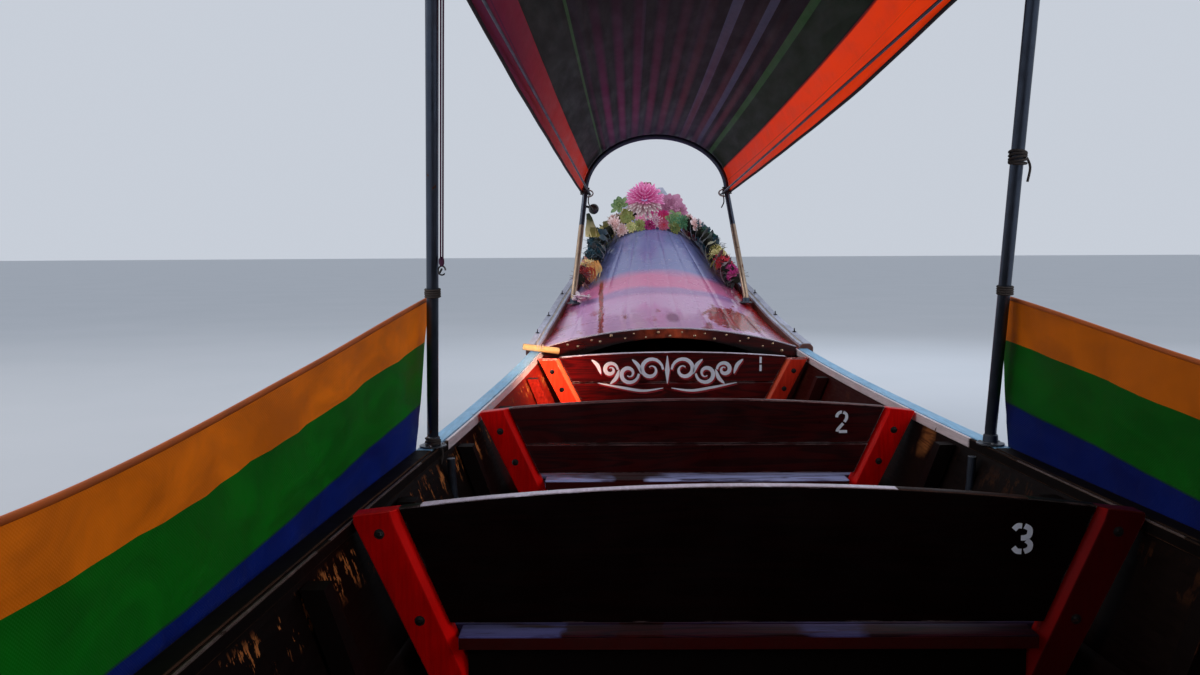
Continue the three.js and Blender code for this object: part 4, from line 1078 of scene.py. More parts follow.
def make_coaming_paint():
    """Dark red paint along the arch, with painted sunlight in orange at its middle and painted shade in black
    below.
    """
    f = Finish("coaming_paint", coat=0.2, coat_roughness=0.1, specular=0.25)
    place = f.place()
    parts = f.split(place)
    arch = parts[2] + abs(parts[0]) ** 2 * 0.31
    ragged = arch + (f.noise(place, 14, 4) - 0.5) * 0.012
    grain = f.grain(ACROSS_BOAT, tone(66, 8, 6), tone(30, 3, 3))
    # Painted sunlight, orange at the middle of the arch
    painted_sunlight = f.between(abs(parts[0] - 0.01), 0.16, 0.02) * f.between(f.noise(f.place((9, 1, 6)), 3, 4), 0.25,
        0.65)
    shade = f.mix(painted_sunlight * 0.7, grain["Color"], tone(226, 96, 56))
    # Painted shade, black below the arch
    shade = f.mix(f.between(ragged, 0.64, 0.628), shade, tone(8, 3, 3))
    rough = f.between(f.noise(place, 9, 4), 0.3, 0.7, 0.25, 0.42)
    return f.feed(bump=grain["Height"], strength=0.2, distance=0.0006, Base_Color=shade, Roughness=rough)


coaming_paint = make_coaming_paint()


def coaming():
    back = DECK_END - COAMING - GAP
    half = beam_at(DECK_END) - CAP_IN - 0.001
    sheer = sheer_at(DECK_END)
    low = sheer - 0.062
    side = [(x, deck_top(x, DECK_END) + 0.008) for x in spread(0, half, 0.03)]
    side += [(width_at(DECK_END, sheer - 0.008) - 0.001, sheer - 0.008),
        (width_at(DECK_END, low) - 0.001, low), *[(x, MOUTH_TOP - MOUTH_DROP * x * x)
        for x in (0.33, 0.29, 0.25, 0.21, 0.17, 0.13, 0.09, 0.045, 0)]]
    outline = side + [(-x, z) for x, z in side[1:-1]][::-1]
    board = Parts().prism([(x, back, z) for x, z in outline], (0, COAMING, 0))
    soften(board.make("coaming_board", coaming_paint, "trim_paint", solid="coaming"), 0.003)
    nails = Parts()
    chance = random.Random(11)
    for k in range(21):
        x = lerp(-half + 0.05, half - 0.05, k / 20) + chance.uniform(-0.008, 0.008)
        z = deck_top(x, DECK_END) - (0.008 if k % 2 else 0.024) + chance.uniform(-0.003, 0.003)
        radius = chance.uniform(0.0036, 0.0062)
        nails.turned([(radius, -0.0005), (radius, 0.0008), (radius * 0.6, 0.002), (0, 0.0024)], (x, back, z),
            AFT, 12)
    nails.make("coaming_nails", brass_nail, "trim_paint")
    rim = []
    for x in spread(-half, half, 0.03):
        rim.append([(x, y, deck_top(x, DECK_END) + z) for y, z in ((back - 0.0005, 0.0045),
            (back + COAMING, 0.0075), (back + COAMING, 0.0088), (back - 0.0005, 0.0088))])
    soften(Parts().loft(rim).make("coaming_edge", worn_line, "trim_paint"), 0.0008, 1)


coaming()


# Passenger rows

# Strokes of the row numbers, as shares of their width and height
DIGITS = {
    1: [[(0.5, 0), (0.5, 0.44)], [(0.5, 0.56), (0.5, 1)]],
    2: [[(0.08, 0.74), (0.16, 0.9), (0.38, 1), (0.5, 1)], [(0.62, 1), (0.86, 0.9), (0.9, 0.7), (0.72, 0.5)],
        [(0.62, 0.42), (0.2, 0.12), (0.12, 0)], [(0.28, 0), (0.95, 0)]],
    3: [[(0.06, 0.86), (0.26, 1), (0.48, 1)],
        [(0.62, 1), (0.88, 0.88), (0.86, 0.64), (0.66, 0.54), (0.44, 0.53)],
        [(0.72, 0.44), (0.92, 0.3), (0.88, 0.1), (0.62, 0)], [(0.48, 0), (0.24, 0.02), (0.06, 0.16)]],
    4: [[(0.62, 1), (0.06, 0.34)], [(0, 0.24), (0.52, 0.24)], [(0.7, 0), (0.7, 0.14)],
        [(0.7, 0.3), (0.7, 0.84)], [(0.82, 0.24), (1, 0.24)]],
    5: [[(0.9, 1), (0.22, 1)], [(0.14, 0.9), (0.12, 0.56)],
        [(0.26, 0.6), (0.66, 0.62), (0.9, 0.42), (0.88, 0.2)],
        [(0.76, 0.06), (0.5, 0), (0.24, 0.02), (0.06, 0.16)]],
    6: [[(0.86, 0.9), (0.6, 1), (0.46, 0.98)], [(0.32, 0.9), (0.14, 0.66), (0.1, 0.3), (0.22, 0.08)],
        [(0.36, 0), (0.66, 0), (0.88, 0.16), (0.88, 0.36), (0.7, 0.54)], [(0.56, 0.56), (0.3, 0.5)]],
    7: [[(0.04, 1), (0.8, 1)], [(0.92, 0.94), (0.6, 0.5)], [(0.54, 0.38), (0.4, 0)]],
}


def stroke(parts, points, widths, y, thickness):
    """Flat painted stroke on a board that faces aft: points are (across, up)."""
    points = [Vector(p) for p in points]
    widths = [widths] * len(points) if isinstance(widths, float) else widths
    left, right = [], []
    for k, p in enumerate(points):
        along = (points[min(k + 1, len(points) - 1)] - points[max(k - 1, 0)]).normalized()
        out = Vector((-along.y, along.x)) * widths[k] / 2
        left.append(p + out)
        right.append(p - out)
    rings = [[(a.x, y, a.y), (b.x, y, b.y), (b.x, y - thickness, b.y), (a.x, y - thickness, a.y)]
        for a, b in zip(left, right)]
    return parts.loft(rings)


def rounded(points, steps=4):
    if len(points) < 3:
        return points
    return [tuple(p)[:2] for p in smooth_path([(x, z, 0) for x, z in points], steps)]


def numeral(row, centre_x, centre_z, height, y):
    parts = Parts()
    wide = height * (0.62 if row < 3 else 0.74)
    for line in DIGITS[row]:
        placed = [(centre_x + (a - 0.5) * wide, centre_z + (b - 0.5) * height) for a, b in rounded(line)]
        stroke(parts, placed, height * (0.15 if row < 3 else 0.21), y + 0.0002, 0.0008)
    parts.make(f"row_number_{row}", stencil_white, "varnished_board")


def row_sizes(y, crown, ends, seat):
    """Sizes of one row's frame and board."""
    front = y + STILE_THICKNESS / 2
    cap = cap_top(y)
    seat_top = cap + seat
    bearer_top = seat_top - BENCH_THICKNESS - GAP
    low = bearer_top - BEARER
    outer_top = beam_at(front) - CAP_IN - 0.0008
    outer_low = width_at(front, low) - RIB - 0.002
    stile_top = cap + ends - 0.012
    inner_top, inner_low = outer_top - STILE_WIDTH, outer_low - STILE_WIDTH

    def inner(z):
        return lerp(inner_low, inner_top, (z - low) / (stile_top + 0.01 - low))

    return dict(y=y, cap=cap, seat_top=seat_top, bearer_top=bearer_top, low=low, outer_top=outer_top,
        outer_low=outer_low, stile_top=stile_top, inner=inner, board_low=seat_top + 0.015, crown=cap + crown,
        ends=cap + ends, half_top=inner_top - 0.001)


def seat_frame(row, s):
    y, low, inner = s["y"], s["low"], s["inner"]
    back, front = y - STILE_THICKNESS / 2, y + STILE_THICKNESS / 2
    chamfer, stiles, bolts = 0.017, Parts(), Parts()
    for side in SIDES.values():
        rings = []
        for z in [*spread(low, s["cap"] - 0.001, 0.06), s["stile_top"] + 0.001]:
            t = min(1, (z - low) / (s["cap"] - low))
            outer, near = lerp(s["outer_low"], s["outer_top"], t), inner(z)
            tip = 0.009 if z > s["cap"] else 0
            rings.append([(side * outer, front, z), (side * outer, back, z),
                (side * (near + chamfer), back, z + tip * 0.9), (side * near, back + chamfer, z + tip),
                (side * near, front, z + tip)])
        stiles.loft(rings)
        for share in {1: (0.16, 0.42), 2: (0.19, 0.51)}.get(row, (0.11, 0.64)):
            z = lerp(s["stile_top"], low, share)
            x = (inner(z) + chamfer + lerp(s["outer_low"], s["outer_top"], 1 - share)) / 2
            bolts.turned([(0.0098, -0.0004), (0.0092, 0.0003), (0.0076, 0.0004)], (side * x, back, z), AFT,
                16)
            bolts.bolt((side * x, back + 0.0006, z), AFT, 0.0044, 0.0022)
    reach = inner(low) + 0.01
    bearer = Parts().box((-reach, back + 0.002, low + 0.001), (reach, front - 0.002, s["bearer_top"]))
    soften(bearer.make(f"seat_bearer_{row}", frame_paint, "red_paint"), 0.003)
    # The first row's stiles carry painted sunlight
    soften(stiles.make(f"seat_frame_red_{row}", stile_red if row > 1 else stile_red_sunlit, "red_paint",
        solid=f"seat_frame_{row}"), 0.0028)
    bolts.make(f"seat_frame_bolts_{row}", bolt_dark, "red_paint")


def backrest(row, s):
    """Two planks, edge to edge, in the first rows and one in the others, under a worn top edge that is dark
    toward starboard on the further boards as painted shade.
    """
    y, half = s["y"], s["half_top"]
    back, inner = y - BOARD_THICKNESS / 2, s["inner"]
    seam = lerp(s["board_low"], s["crown"], 0.4)

    def arch(x):
        return s["ends"] + (s["crown"] - s["ends"]) * (1 - (x / half) ** 2)

    upper = [(x, arch(x)) for x in spread(-half, half, 0.05)]
    upper += [(inner(seam) - 0.001, seam + 0.001), (-inner(seam) + 0.001, seam + 0.001)]
    lower = [(-inner(seam) + 0.001, seam - 0.001), (inner(seam) - 0.001, seam - 0.001),
        (inner(s["board_low"]) - 0.001, s["board_low"]), (-inner(s["board_low"]) + 0.001, s["board_low"])]
    parts = Parts()
    for outline in (upper, lower) if row < 3 else (upper[:-2] + lower[2:],):
        parts.prism([(x, back, z) for x, z in outline], (0, BOARD_THICKNESS, 0))
    soften(parts.make(f"board_{row}", board_varnish[min(row, 3) - 1], "varnished_board",
        solid=f"backrest_{row}"), 0.003)
    begin, reach = (-half + 0.012, half - 0.006) if row < 3 else (-half + 0.04, 0.43 * half)
    # From the third board on, the top edge toward starboard is dark as painted shade
    for name, start, end, finish in ((f"board_edge_{row}", begin, reach,
            faint_line if row == 2 else worn_line), (f"board_edge_{row}_dull", reach, 0.8 * half, shaded_edge_line)):
        if end <= start:
            continue
        edge = []
        for x in spread(start, end, 0.04):
            z = arch(x)
            deep = (0.003 if row < 3 else 0.002) - 0.0014 * (x / half + 1) / 2
            edge.append([(x, back - 0.0003, z - deep), (x, back + 0.004, z - 0.001),
                (x, back + BOARD_THICKNESS - 0.002, z - 0.001), (x, back + BOARD_THICKNESS - 0.002,
                z + 0.0006), (x, back + 0.0025, z + 0.0006), (x, back - 0.0003, z - 0.001)])
        Parts().loft(edge).make(name, finish, "varnished_board")
    height, drop = (0.054, 0.026) if row < 3 else (0.046, 0.035)
    numeral(row, (0.77 if row < 3 else 0.785) * half, s["cap"] - drop, height, back)


def bench(index, s):
    """Three planks on cleats, the first one narrowed to pass between the stiles."""
    y, low, top = s["y"], s["seat_top"] - BENCH_THICKNESS, s["seat_top"]
    front, notch = y + BENCH_DEPTH, y + 0.0225
    narrow = s["inner"](low) - 0.0015
    wide = min(rib_width(place, low) for place in (y + 0.021, (y + 0.021 + front) / 2, front))
    planks = Parts().box((-narrow, y - 0.035, low), (narrow, notch, top))
    cuts = [notch + 0.0012, notch + 0.105, notch + 0.209, front + 0.0025]
    for start, end in zip(cuts, cuts[1:]):
        planks.box((-wide, start, low), (wide, end - 0.0025, top))
    soften(planks.make(f"bench_planks_{index}", bench_varnish, "bench_wood", solid=f"bench_{index}"), 0.003)
    nosing = Parts().box((-narrow + 0.001, y - 0.0362, low - 0.0005),
        (narrow - 0.001, y - 0.0345, top - 0.004))
    nosing.make(f"bench_edge_{index}", nosing_red, "red_paint")
    end_x, cleats = rib_width(front, low - 0.05), Parts()
    for side in SIDES.values():
        cleats.box((side * (end_x - 0.032), notch + 0.002, low - 0.05),
            (side * end_x, front - 0.02, low - 0.0003))
    soften(cleats.make(f"bench_cleats_{index}", frame_paint, "bench_wood"), 0.002)


for index, (y, crown, ends, seat) in enumerate(ROWS):
    sizes = row_sizes(y, crown, ends, seat)
    seat_frame(index + 1, sizes)
    backrest(index + 1, sizes)
    if index:
        bench(index, sizes)


# Scroll ornament on the first board

def scroll_ornament():
    y = ROWS[0][0] - BOARD_THICKNESS / 2
    centre = (-0.02, 0.522)
    white, shadow = Parts(), Parts()

    def draw(points, widths):
        stroke(shadow, [(x + 0.003, z - 0.006) for x, z in points], [w * 1.1 for w in widths], y + 0.0002,
            0.0005)
        stroke(white, points, widths, y + 0.0002, 0.0011)

    def curl(x, z, radius, start, turns, way):
        points = []
        for i in range(25):
            t = i / 24
            a = start + way * turns * 2 * pi * t
            r = radius * (1 - 0.78 * t)
            points.append((x + r * cos(a), z + r * sin(a)))
        return points, [0.004 + 0.011 * sin(pi * min(1, 0.12 + i / 24)) for i in range(25)]

    for way in (-1, 1):
        for k, (offset, size) in enumerate(((0.062, 0.046), (0.145, 0.038), (0.214, 0.028))):
            up = 1 if k % 2 == 0 else -1
            draw(*curl(centre[0] + way * offset, centre[1] + up * 0.008, size, pi if way > 0 else 0, 1.35,
                -way * up))
            leaf = [(centre[0] + way * (offset + 0.036), centre[1] - up * 0.008),
                (centre[0] + way * (offset + 0.048), centre[1] + up * 0.024),
                (centre[0] + way * (offset + 0.07), centre[1] + up * 0.046)]
            draw(rounded(leaf, 5), [0.003 + 0.011 * sin(pi * i / 10) for i in range(11)])
        sweep = ((0.015, 0), (0.09, -0.01), (0.17, 0.002), (0.262, 0.02))
        tail = [(centre[0] + way * x, centre[1] - 0.062 + z) for x, z in sweep]
        draw(rounded(tail, 6), [0.002 + 0.008 * sin(pi * i / 18) for i in range(19)])
    draw([(centre[0], centre[1] - 0.045), (centre[0], centre[1] + 0.005), (centre[0], centre[1] + 0.06)],
        [0.003, 0.018, 0.003])
    shadow.make("scroll_shadow", scroll_crimson, "varnished_board")
    white.make("scroll_white", stencil_white, "varnished_board")


scroll_crimson = painted_wood("scroll_crimson", tone(170, 16, 34), tone(60, 20, 20), cover=0, wear=0)
scroll_ornament()


# Pipework

def arch_point(share, half, edge, crown, offset=0):
    """Point of half an ellipse over the boat, moved outwards: share 0 at starboard, 1 at port."""
    angle = pi * share
    across, up = cos(angle), sin(angle)
    out = Vector((across / half, up / (crown - edge))).normalized()
    return half * across + offset * out.x, edge + (crown - edge) * up + offset * out.y


def pipe_flange(parts, centre, axis):
    parts.turned([(0.032, 0), (0.032, 0.003), (0.018, 0.005), (0.0165, 0.022), (0.0145, 0.024)], centre, axis,
        20)
    for k in range(3):
        a = 2 * pi * k / 3 + 0.4
        parts.bolt(Vector(centre) + Vector((0.0245 * cos(a), 0.0245 * sin(a), 0.002)), axis, 0.004, 0.003)


def hoop(name, foot_x, foot_y, top_x, top_y, top_z, crown):
    """Pipe arch on flanged feet. The front one's legs are pale sleeves, painted light below the dark arch,
    and the others have stays inboard.
    """
    on_deck = foot_y > DECK_END
    foot = (deck_top(foot_x - PIPE, foot_y + PIPE) if on_deck else cap_top(foot_y + PIPE)) + GAP
    arch = [(x, top_y, z) for x, z in (arch_point(i / 40, top_x, top_z, crown) for i in range(41))]

    def leg(side, share):
        """Point of the slanting part of a leg, from its bend above the foot to the shoulder."""
        return Vector((side * foot_x, foot_y, foot + 0.035)).lerp(Vector((side * top_x, top_y, top_z)), share)

    feet, sleeves = Parts(), Parts()
    for side in SIDES.values():
        base = (side * foot_x, foot_y, foot)
        pipe_flange(feet, (side * foot_x, foot_y, foot - GAP), UP)
        if on_deck:
            sleeves.tube([base, leg(side, 0), leg(side, 0.3), leg(side, 0.66)], PIPE, 16)
        else:
            sheer = sheer_at(foot_y)
            inside = width_at(foot_y, sheer - 0.07) - 0.004
            feet.tube([(side * (inside + reach), foot_y, sheer - drop)
                for reach, drop in ((0.003, 0.004), (0, 0.07), (-0.016, 0.24))], 0.01, 10)
    if on_deck:
        sleeves.make(f"{name}_legs", pipe_pale_lit, "pipe_steel", solid=name)
        pipes = Parts().tube([leg(1, 0.62), *arch, leg(-1, 0.62)], PIPE - 0.0006, 16)
    else:
        ends = [(foot_x, foot_y, foot), leg(1, 0)], [leg(-1, 0), (-foot_x, foot_y, foot)]
        pipes = Parts().tube([*ends[0], *arch, *ends[1]], PIPE, 16)
    pipes.make(f"{name}_pipe", pipe_dark, "pipe_steel", solid=name)
    feet.make(f"{name}_feet", pipe_dark, "pipe_steel")


for name, sizes in HOOPS.items():
    hoop(name, *sizes)


def canopy_rail(word, side):
    """Rail under the hoops' shoulders, drawn as a thin cord ahead of the first full hoop, with its ties."""
    inward = 0.93 * (PIPE + RAIL_PIPE) + 0.0006
    stops = [Vector((side * (h[2] - inward), h[3], h[4] - 0.01)) for h in HOOPS.values()]
    start, joint = stops[0] + Vector((0, 0.04, 0)), stops[1] + Vector((0, 0.05, 0))
    rail = Parts().tube([joint, *stops[1:], stops[-1] - Vector((0, 0.42, 0))], RAIL_PIPE, 14)
    rail.tube([start, stops[0], *[stops[0].lerp(stops[1], t) for t in (0.3, 0.6)], joint], 0.0045, 10)
    rail.make(f"canopy_rail_pipe_{word}", pipe_dark, "pipe_steel", solid=f"canopy_rail_{word}")
    ties = Parts()
    for x, y, z in stops:
        for k in range(5):
            ties.tube([(x + side * (0.0105 + 0.0255 * cos(a)), y + (k - 2) * 0.006 + 0.003 * sin(a),
                z + 0.004 + 0.017 * sin(a)) for a in around(18, 19)], 0.0028, 6)
    ties.make(f"rail_ties_{word}", rope_pale, "pipe_steel")


for word, side in SIDES.items():
    canopy_rail(word, side)


# Canopy

CLOTH = 0.0045
CANOPY_COLUMNS, PLEATS = 112, 19
BAND_RED, BAND_GREEN = 0.13, 0.245


def sheet_mesh(name, outer, inner, uvs, material, slot, solid):
    """Closed sheet from two grids of points that face each other."""
    rows, columns = len(outer), len(outer[0])
    points = [p for row in outer for p in row] + [p for row in inner for p in row]
    half, faces = rows * columns, []
    for r in range(rows - 1):
        for c in range(columns - 1):
            a, b = r * columns + c, (r + 1) * columns + c
            faces += [(a, a + 1, b + 1, b), (half + a, half + b, half + b + 1, half + a + 1)]
    for r in range(rows - 1):
        for c in (0, columns - 1):
            a, b = r * columns + c, (r + 1) * columns + c
            faces.append((a, b, half + b, half + a))
    for c in range(columns - 1):
        for r in (0, rows - 1):
            a = r * columns + c
            faces.append((a, half + a, half + a + 1, a + 1))
    flat = [uv for row in uvs for uv in row]
    return piece(name, points, faces, material, slot, solid=solid, uvs=flat + flat, sharp_angle=60)


def grid_area(grid):
    area = 0
    for a, b in zip(grid, grid[1:]):
        for p, q, r, s in zip(a, a[1:], b[1:], b):
            p, q, r, s = Vector(p), Vector(q), Vector(r), Vector(s)
            area += ((q - p).cross(r - p).length + (r - p).cross(s - p).length) / 2
    return area


def path_length(points):
    return sum((Vector(b) - Vector(a)).length for a, b in zip(points, points[1:]))


def canopy_grid(extra):
    grid = []
    for y in spread(CANOPY[0][0], CANOPY[-1][0], 0.11):
        half, edge, crown = (table_value(CANOPY, column, y) for column in (1, 2, 3))
        depth = lerp(0.003, 0.013, min(1, max(0, (y - 1.2) / 3.9)))
        row = []
        for i in range(CANOPY_COLUMNS + 1):
            share = i / CANOPY_COLUMNS
            middle = min(1, max(0, (share - 0.2) / 0.06)) * min(1, max(0, (0.8 - share) / 0.06))
            pleat = depth * (0.5 - 0.5 * cos(2 * pi * PLEATS * share)) * middle
            ripple = 0.0012 * (1 + sin(9 * y + 20 * share) * sin(5.3 * y))
            x, z = arch_point(share, half, edge, crown, PIPE + 0.0012 + extra + pleat + ripple)
            row.append((x, y, z))
        grid.append(row)
    return grid


def make_canopy_cloth():
    # The emission is a painted glow of sunlight through the cloth
    f = Finish("canopy_cloth", roughness=0.62, sheen=0.04, emission=0.56, specular=0.2)
    uv = f.node("TexCoord")["UV"]
    across = f.split(uv)[0]
    along = f.split(uv)[1]
    red, green, violet = tone(196, 28, 10), tone(14, 34, 20), tone(9, 7, 12)
    seam_red, seam_green = tone(70, 8, 12), tone(64, 116, 60)
    # The pale lines in the middle are painted light along the seams
    seam_light, olive = tone(92, 100, 126), tone(26, 54, 24)
    shade = f.steps(across, [(0, red), (0.062, seam_red), (0.066, red), (BAND_RED, tone(8, 12, 8)),
        (BAND_RED + 0.004, olive), (BAND_GREEN - 0.02, seam_green), (BAND_GREEN, violet), (0.3, seam_light),
        (0.32, violet), (0.369, seam_light), (0.391, violet), (0.44, tone(34, 22, 34)), (0.46, violet),
        (0.575, tone(44, 42, 56)), (0.583, violet), (1 - BAND_GREEN, seam_green),
        (1 - BAND_GREEN + 0.01, green), (1 - BAND_RED - 0.004, tone(8, 12, 8)), (1 - BAND_RED, red),
        (0.934, seam_red), (0.938, red)])
    middle = f.between(across, 0.25, 0.27) * f.between(across, 0.75, 0.73)
    ribs = f.math("SINE", across * (2 * pi * PLEATS))
    # Painted highlights on the pleats near the front hoop, and a painted haze of light at the crown
    lit_pleats = f.between(along, 0.76, 0.96) * (middle * f.between(ribs, -0.2, 0.9))
    lit_pleat_colour = f.mix(f.between(across, 0.45, 0.62), tone(122, 50, 68), tone(150, 50, 108))
    shade = f.mix(lit_pleats * 0.95, shade, lit_pleat_colour)
    shade = f.mix(middle * f.between(along, 0.92, 1, 0, 0.6), shade, tone(92, 84, 108))
    # Painted shade: the port red band turns plum toward the aft
    shaded_port_red = f.between(across, 1 - BAND_RED, 1 - BAND_RED + 0.004) * f.between(along, 0.98, 0.7)
    shade = f.mix(shaded_port_red * f.between(across, 0.9, 0.97, 0.55, 0.85), shade, tone(112, 56, 116))
    dirty = f.grime(f.place((3, 3, 3)), shade, tone(24, 18, 20), 0.3)
    # Painted sunlight shining through the red bands, on the underside
    starboard = f.between(across, BAND_RED, BAND_RED - 0.004)
    port = f.between(across, 1 - BAND_RED, 1 - BAND_RED + 0.004)
    glow = starboard * f.between(along, 0.97, 0.8, 0.55, 1) + port * f.between(along, 0.75, 1, 0.03, 0.34)
    underside = f.between(f.facing()[2], 0.05, -0.05)
    glow = glow * underside
    folds = f.noise(f.place((6, 2, 6)), 3, 4, 0.6)
    lit = f.mix(glow * f.between(folds, 0.3, 0.7, 0.75, 1), (0, 0, 0, 1), tone(255, 66, 8))
    weave = f.use("weave", Place=f.place((1, 1, 1)), Threads=1100)["Height"]
    height = weave * 0.3 + folds * 1.6
    return f.feed(bump=height, strength=0.35, distance=0.0012, Base_Color=dirty, Emission_Color=lit,
        Roughness=f.between(folds, 0.3, 0.7, 0.5, 0.72))


def canopy():
    outer, inner = canopy_grid(CLOTH), canopy_grid(0)
    rows = len(outer)
    uvs = [[(c / CANOPY_COLUMNS, r / (rows - 1)) for c in range(CANOPY_COLUMNS + 1)] for r in range(rows)]
    material = make_canopy_cloth()
    obj = sheet_mesh("canopy_sheet", outer, inner, uvs, material, "canopy_cloth", "canopy")
    widest = max(path_length(row) for row in outer)
    length = max(path_length([row[c] for row in outer]) for c in range(0, CANOPY_COLUMNS + 1, 8))
    hems = Parts()
    for column in (0, CANOPY_COLUMNS):
        hems.tube([Vector(row[column]).lerp(Vector(low[column]), 0.5) for row, low in zip(outer, inner)],
            0.0052, 8)
    hem = hems.make("canopy_hems", canopy_binding, "canopy_cloth")
    binding = Parts()
    for row, low in ((outer[-1], inner[-1]), (outer[0], inner[0])):
        binding.tube([Vector(p).lerp(Vector(q), 0.5) for p, q in zip(row, low)], 0.0085, 10)
    front = binding.make("canopy_binding", canopy_binding, "canopy_cloth")
    lashings = Parts()
    for side in SIDES.values():
        wind(lashings, (side * 0.352, 5.252, 1.276), 0.0215, 5, 0.007, 0.003, 0.003)
        lashings.pipe([(side * 0.33, 5.24, 1.266), (side * 0.335, 5.235, 1.22), (side * 0.322, 5.232, 1.19)],
            4, 0.003, 6)
    lashing = lashings.make("canopy_lashings", rope_dark, "canopy_cloth")
    min(grid_area(outer), widest * length)


canopy_binding = moulded("canopy_binding", tone(40, 22, 26), roughness=0.8, bump_scale=500)
rope_dark = moulded("rope_dark", tone(58, 50, 48), roughness=0.85, bump_scale=420)
canopy()


# Side curtains

CURTAIN_CLOTH = 0.003
CURTAIN_HOOKS, CURTAIN_STEPS = (2.475, -0.165, -2.848), 24
CURTAIN_ORANGE, CURTAIN_GREEN = 0.105, 0.255


def make_curtain_cloth():
    f = Finish("curtain_cloth", roughness=0.55, emission=0.3, specular=0.12)
    uv = f.node("TexCoord")["UV"]
    parts = f.split(uv)
    slant = f.between(parts[0], 2.4, 1.1) * f.between(parts[1], 0.08, 0.25, 0.01, 0.042)
    wavy = parts[1] + slant + (f.noise(f.place(), 4, 2) - 0.5) * 0.008
    across = f.split(f.place())[0]
    orange, green, blue = tone(206, 104, 6), tone(0, 90, 10), tone(0, 22, 94)
    shade = f.steps(wavy, [(0, orange), (0.012, tone(160, 74, 14)), (0.0145, orange),
        (CURTAIN_ORANGE - 0.003, tone(120, 70, 14)), (CURTAIN_ORANGE, green),
        (CURTAIN_GREEN - 0.003, tone(10, 60, 40)), (CURTAIN_GREEN, blue)])
    folds = f.noise(f.place((3, 1.6, 3)), 4, 4, 0.55, 0.8)
    # Painted shade: the cloth is darker in the fold troughs
    soft = f.mix(f.between(folds, 0.35, 0.65), f.mix(1, shade, (0.8, 0.8, 0.84, 1), blend="MULTIPLY"), shade)
    dirty = f.grime(f.place((2, 2, 2)), soft, tone(48, 32, 22), 0.14)
    weave = f.use("weave", Place=f.node("Mapping", {0: uv})[0], Threads=1300)["Height"]
    height = weave * 0.25 + folds * 2
    # The emission is a painted glow of light through the cloth, brighter to port than to starboard
    return f.feed(bump=height, strength=0.4, distance=0.0014, Base_Color=dirty,
        Emission_Color=f.mix(f.between(across, -0.1, 0.1, 1, 0.25) * f.between(folds, 0.3, 0.7, 0.55, 1),
        (0, 0, 0, 1), soft), Roughness=f.between(folds, 0.3, 0.7, 0.45, 0.65))


def curtain(word, side):
    outer, inner, uvs = [], [], []
    for y in spread(CURTAIN[0][0], CURTAIN[-1][0], 0.05):
        top_x, top_z, mid_x, low_x, low_z = (table_value(CURTAIN, column, y) for column in range(1, 6))
        mid_z = cap_top(y) + 0.006
        line = [Vector((top_x, top_z)), Vector((mid_x, mid_z)), Vector((low_x, low_z))]
        upper, lower = (line[1] - line[0]).length, (line[2] - line[1]).length
        row_out, row_in, row_uv = [], [], []
        for k in range(CURTAIN_STEPS + 1):
            drop = (upper + lower) * k / CURTAIN_STEPS
            p = line[0].lerp(line[1], drop / upper) if drop < upper else line[1].lerp(line[2],
                (drop - upper) / lower)
            loose = sin(pi * min(1, k / 16)) if k < 16 else 0.5
            near = min(abs(y - hook) for hook in CURTAIN_HOOKS)
            fold = (0.0045 * sin(2 * pi * y / 0.31 + 1.7 * sin(3.1 * y))
                + 0.0022 * sin(2 * pi * y / 0.107 + 9 * drop)) * loose * min(1, near / 0.15)
            fold += 0.004 * loose * sin(14 * drop + 6 * near) * max(0, 1 - near / 0.6)
            lead = (0.07 + 0.06 * k / CURTAIN_STEPS) * max(0, (y - 2.1) / 0.375) ** 2
            across = p.x + max(-0.004, fold) - 0.09 * lead * min(1, k / 8)
            row_out.append((side * across, y + lead, p.y))
            row_in.append((side * (across - CURTAIN_CLOTH), y + lead, p.y))
            row_uv.append((y, drop))
        outer.append(row_out)
        inner.append(row_in)
        uvs.append(row_uv)
    obj = sheet_mesh(f"curtain_sheet_{word}", outer, inner, uvs, curtain_cloth, "curtain_cloth",
        f"curtain_{word}")
    edge = [Vector(row[0]) - Vector((side * CURTAIN_CLOTH / 2, 0, 0.003)) for row in outer]
    hem = Parts().tube(edge, 0.0048, 10).make(f"curtain_hem_{word}", hem_orange, "curtain_cloth")
    foot = Parts().tube([Vector(row[-1]) - Vector((side * CURTAIN_CLOTH / 2, 0, 0)) for row in outer], 0.0034,
        8)
    foot = foot.make(f"curtain_foot_{word}", hem_blue, "curtain_cloth")
    ties = Parts()
    for corner_y, lead, hoop in zip(CURTAIN_HOOKS, (0.066, 0, 0), list(HOOPS.values())[1:]):
        x, z = side * table_value(CURTAIN, 1, corner_y), table_value(CURTAIN, 2, corner_y)
        corner_y += lead
        t = (z + 0.01 - cap_top(hoop[1])) / (hoop[4] - cap_top(hoop[1]))
        post = (side * lerp(hoop[0], hoop[2], t), lerp(hoop[1], hoop[3], t), z + 0.012)
        ties.pipe([(x, corner_y, z - 0.004), ((x + post[0]) / 2 + side * 0.006, (corner_y + post[1]) / 2,
            z + 0.008), (post[0] + side * 0.0165, post[1], post[2])], 5, 0.0024, 6)
        wind(ties, post, 0.0162, 4, 0.005, 0.002, 0.0025)
    tie = ties.make(f"curtain_ties_{word}", rope_dark, "curtain_cloth")
    length = path_length([row[0] for row in outer])
    widest = max(path_length(row) for row in outer)
    area = grid_area(outer)


curtain_cloth = make_curtain_cloth()
hem_orange = moulded("hem_orange", tone(206, 98, 14), roughness=0.7, bump_scale=500)
hem_blue = moulded("hem_blue", tone(18, 28, 96), roughness=0.7, bump_scale=500)
for word, side in SIDES.items():
    curtain(word, side)


# Garland

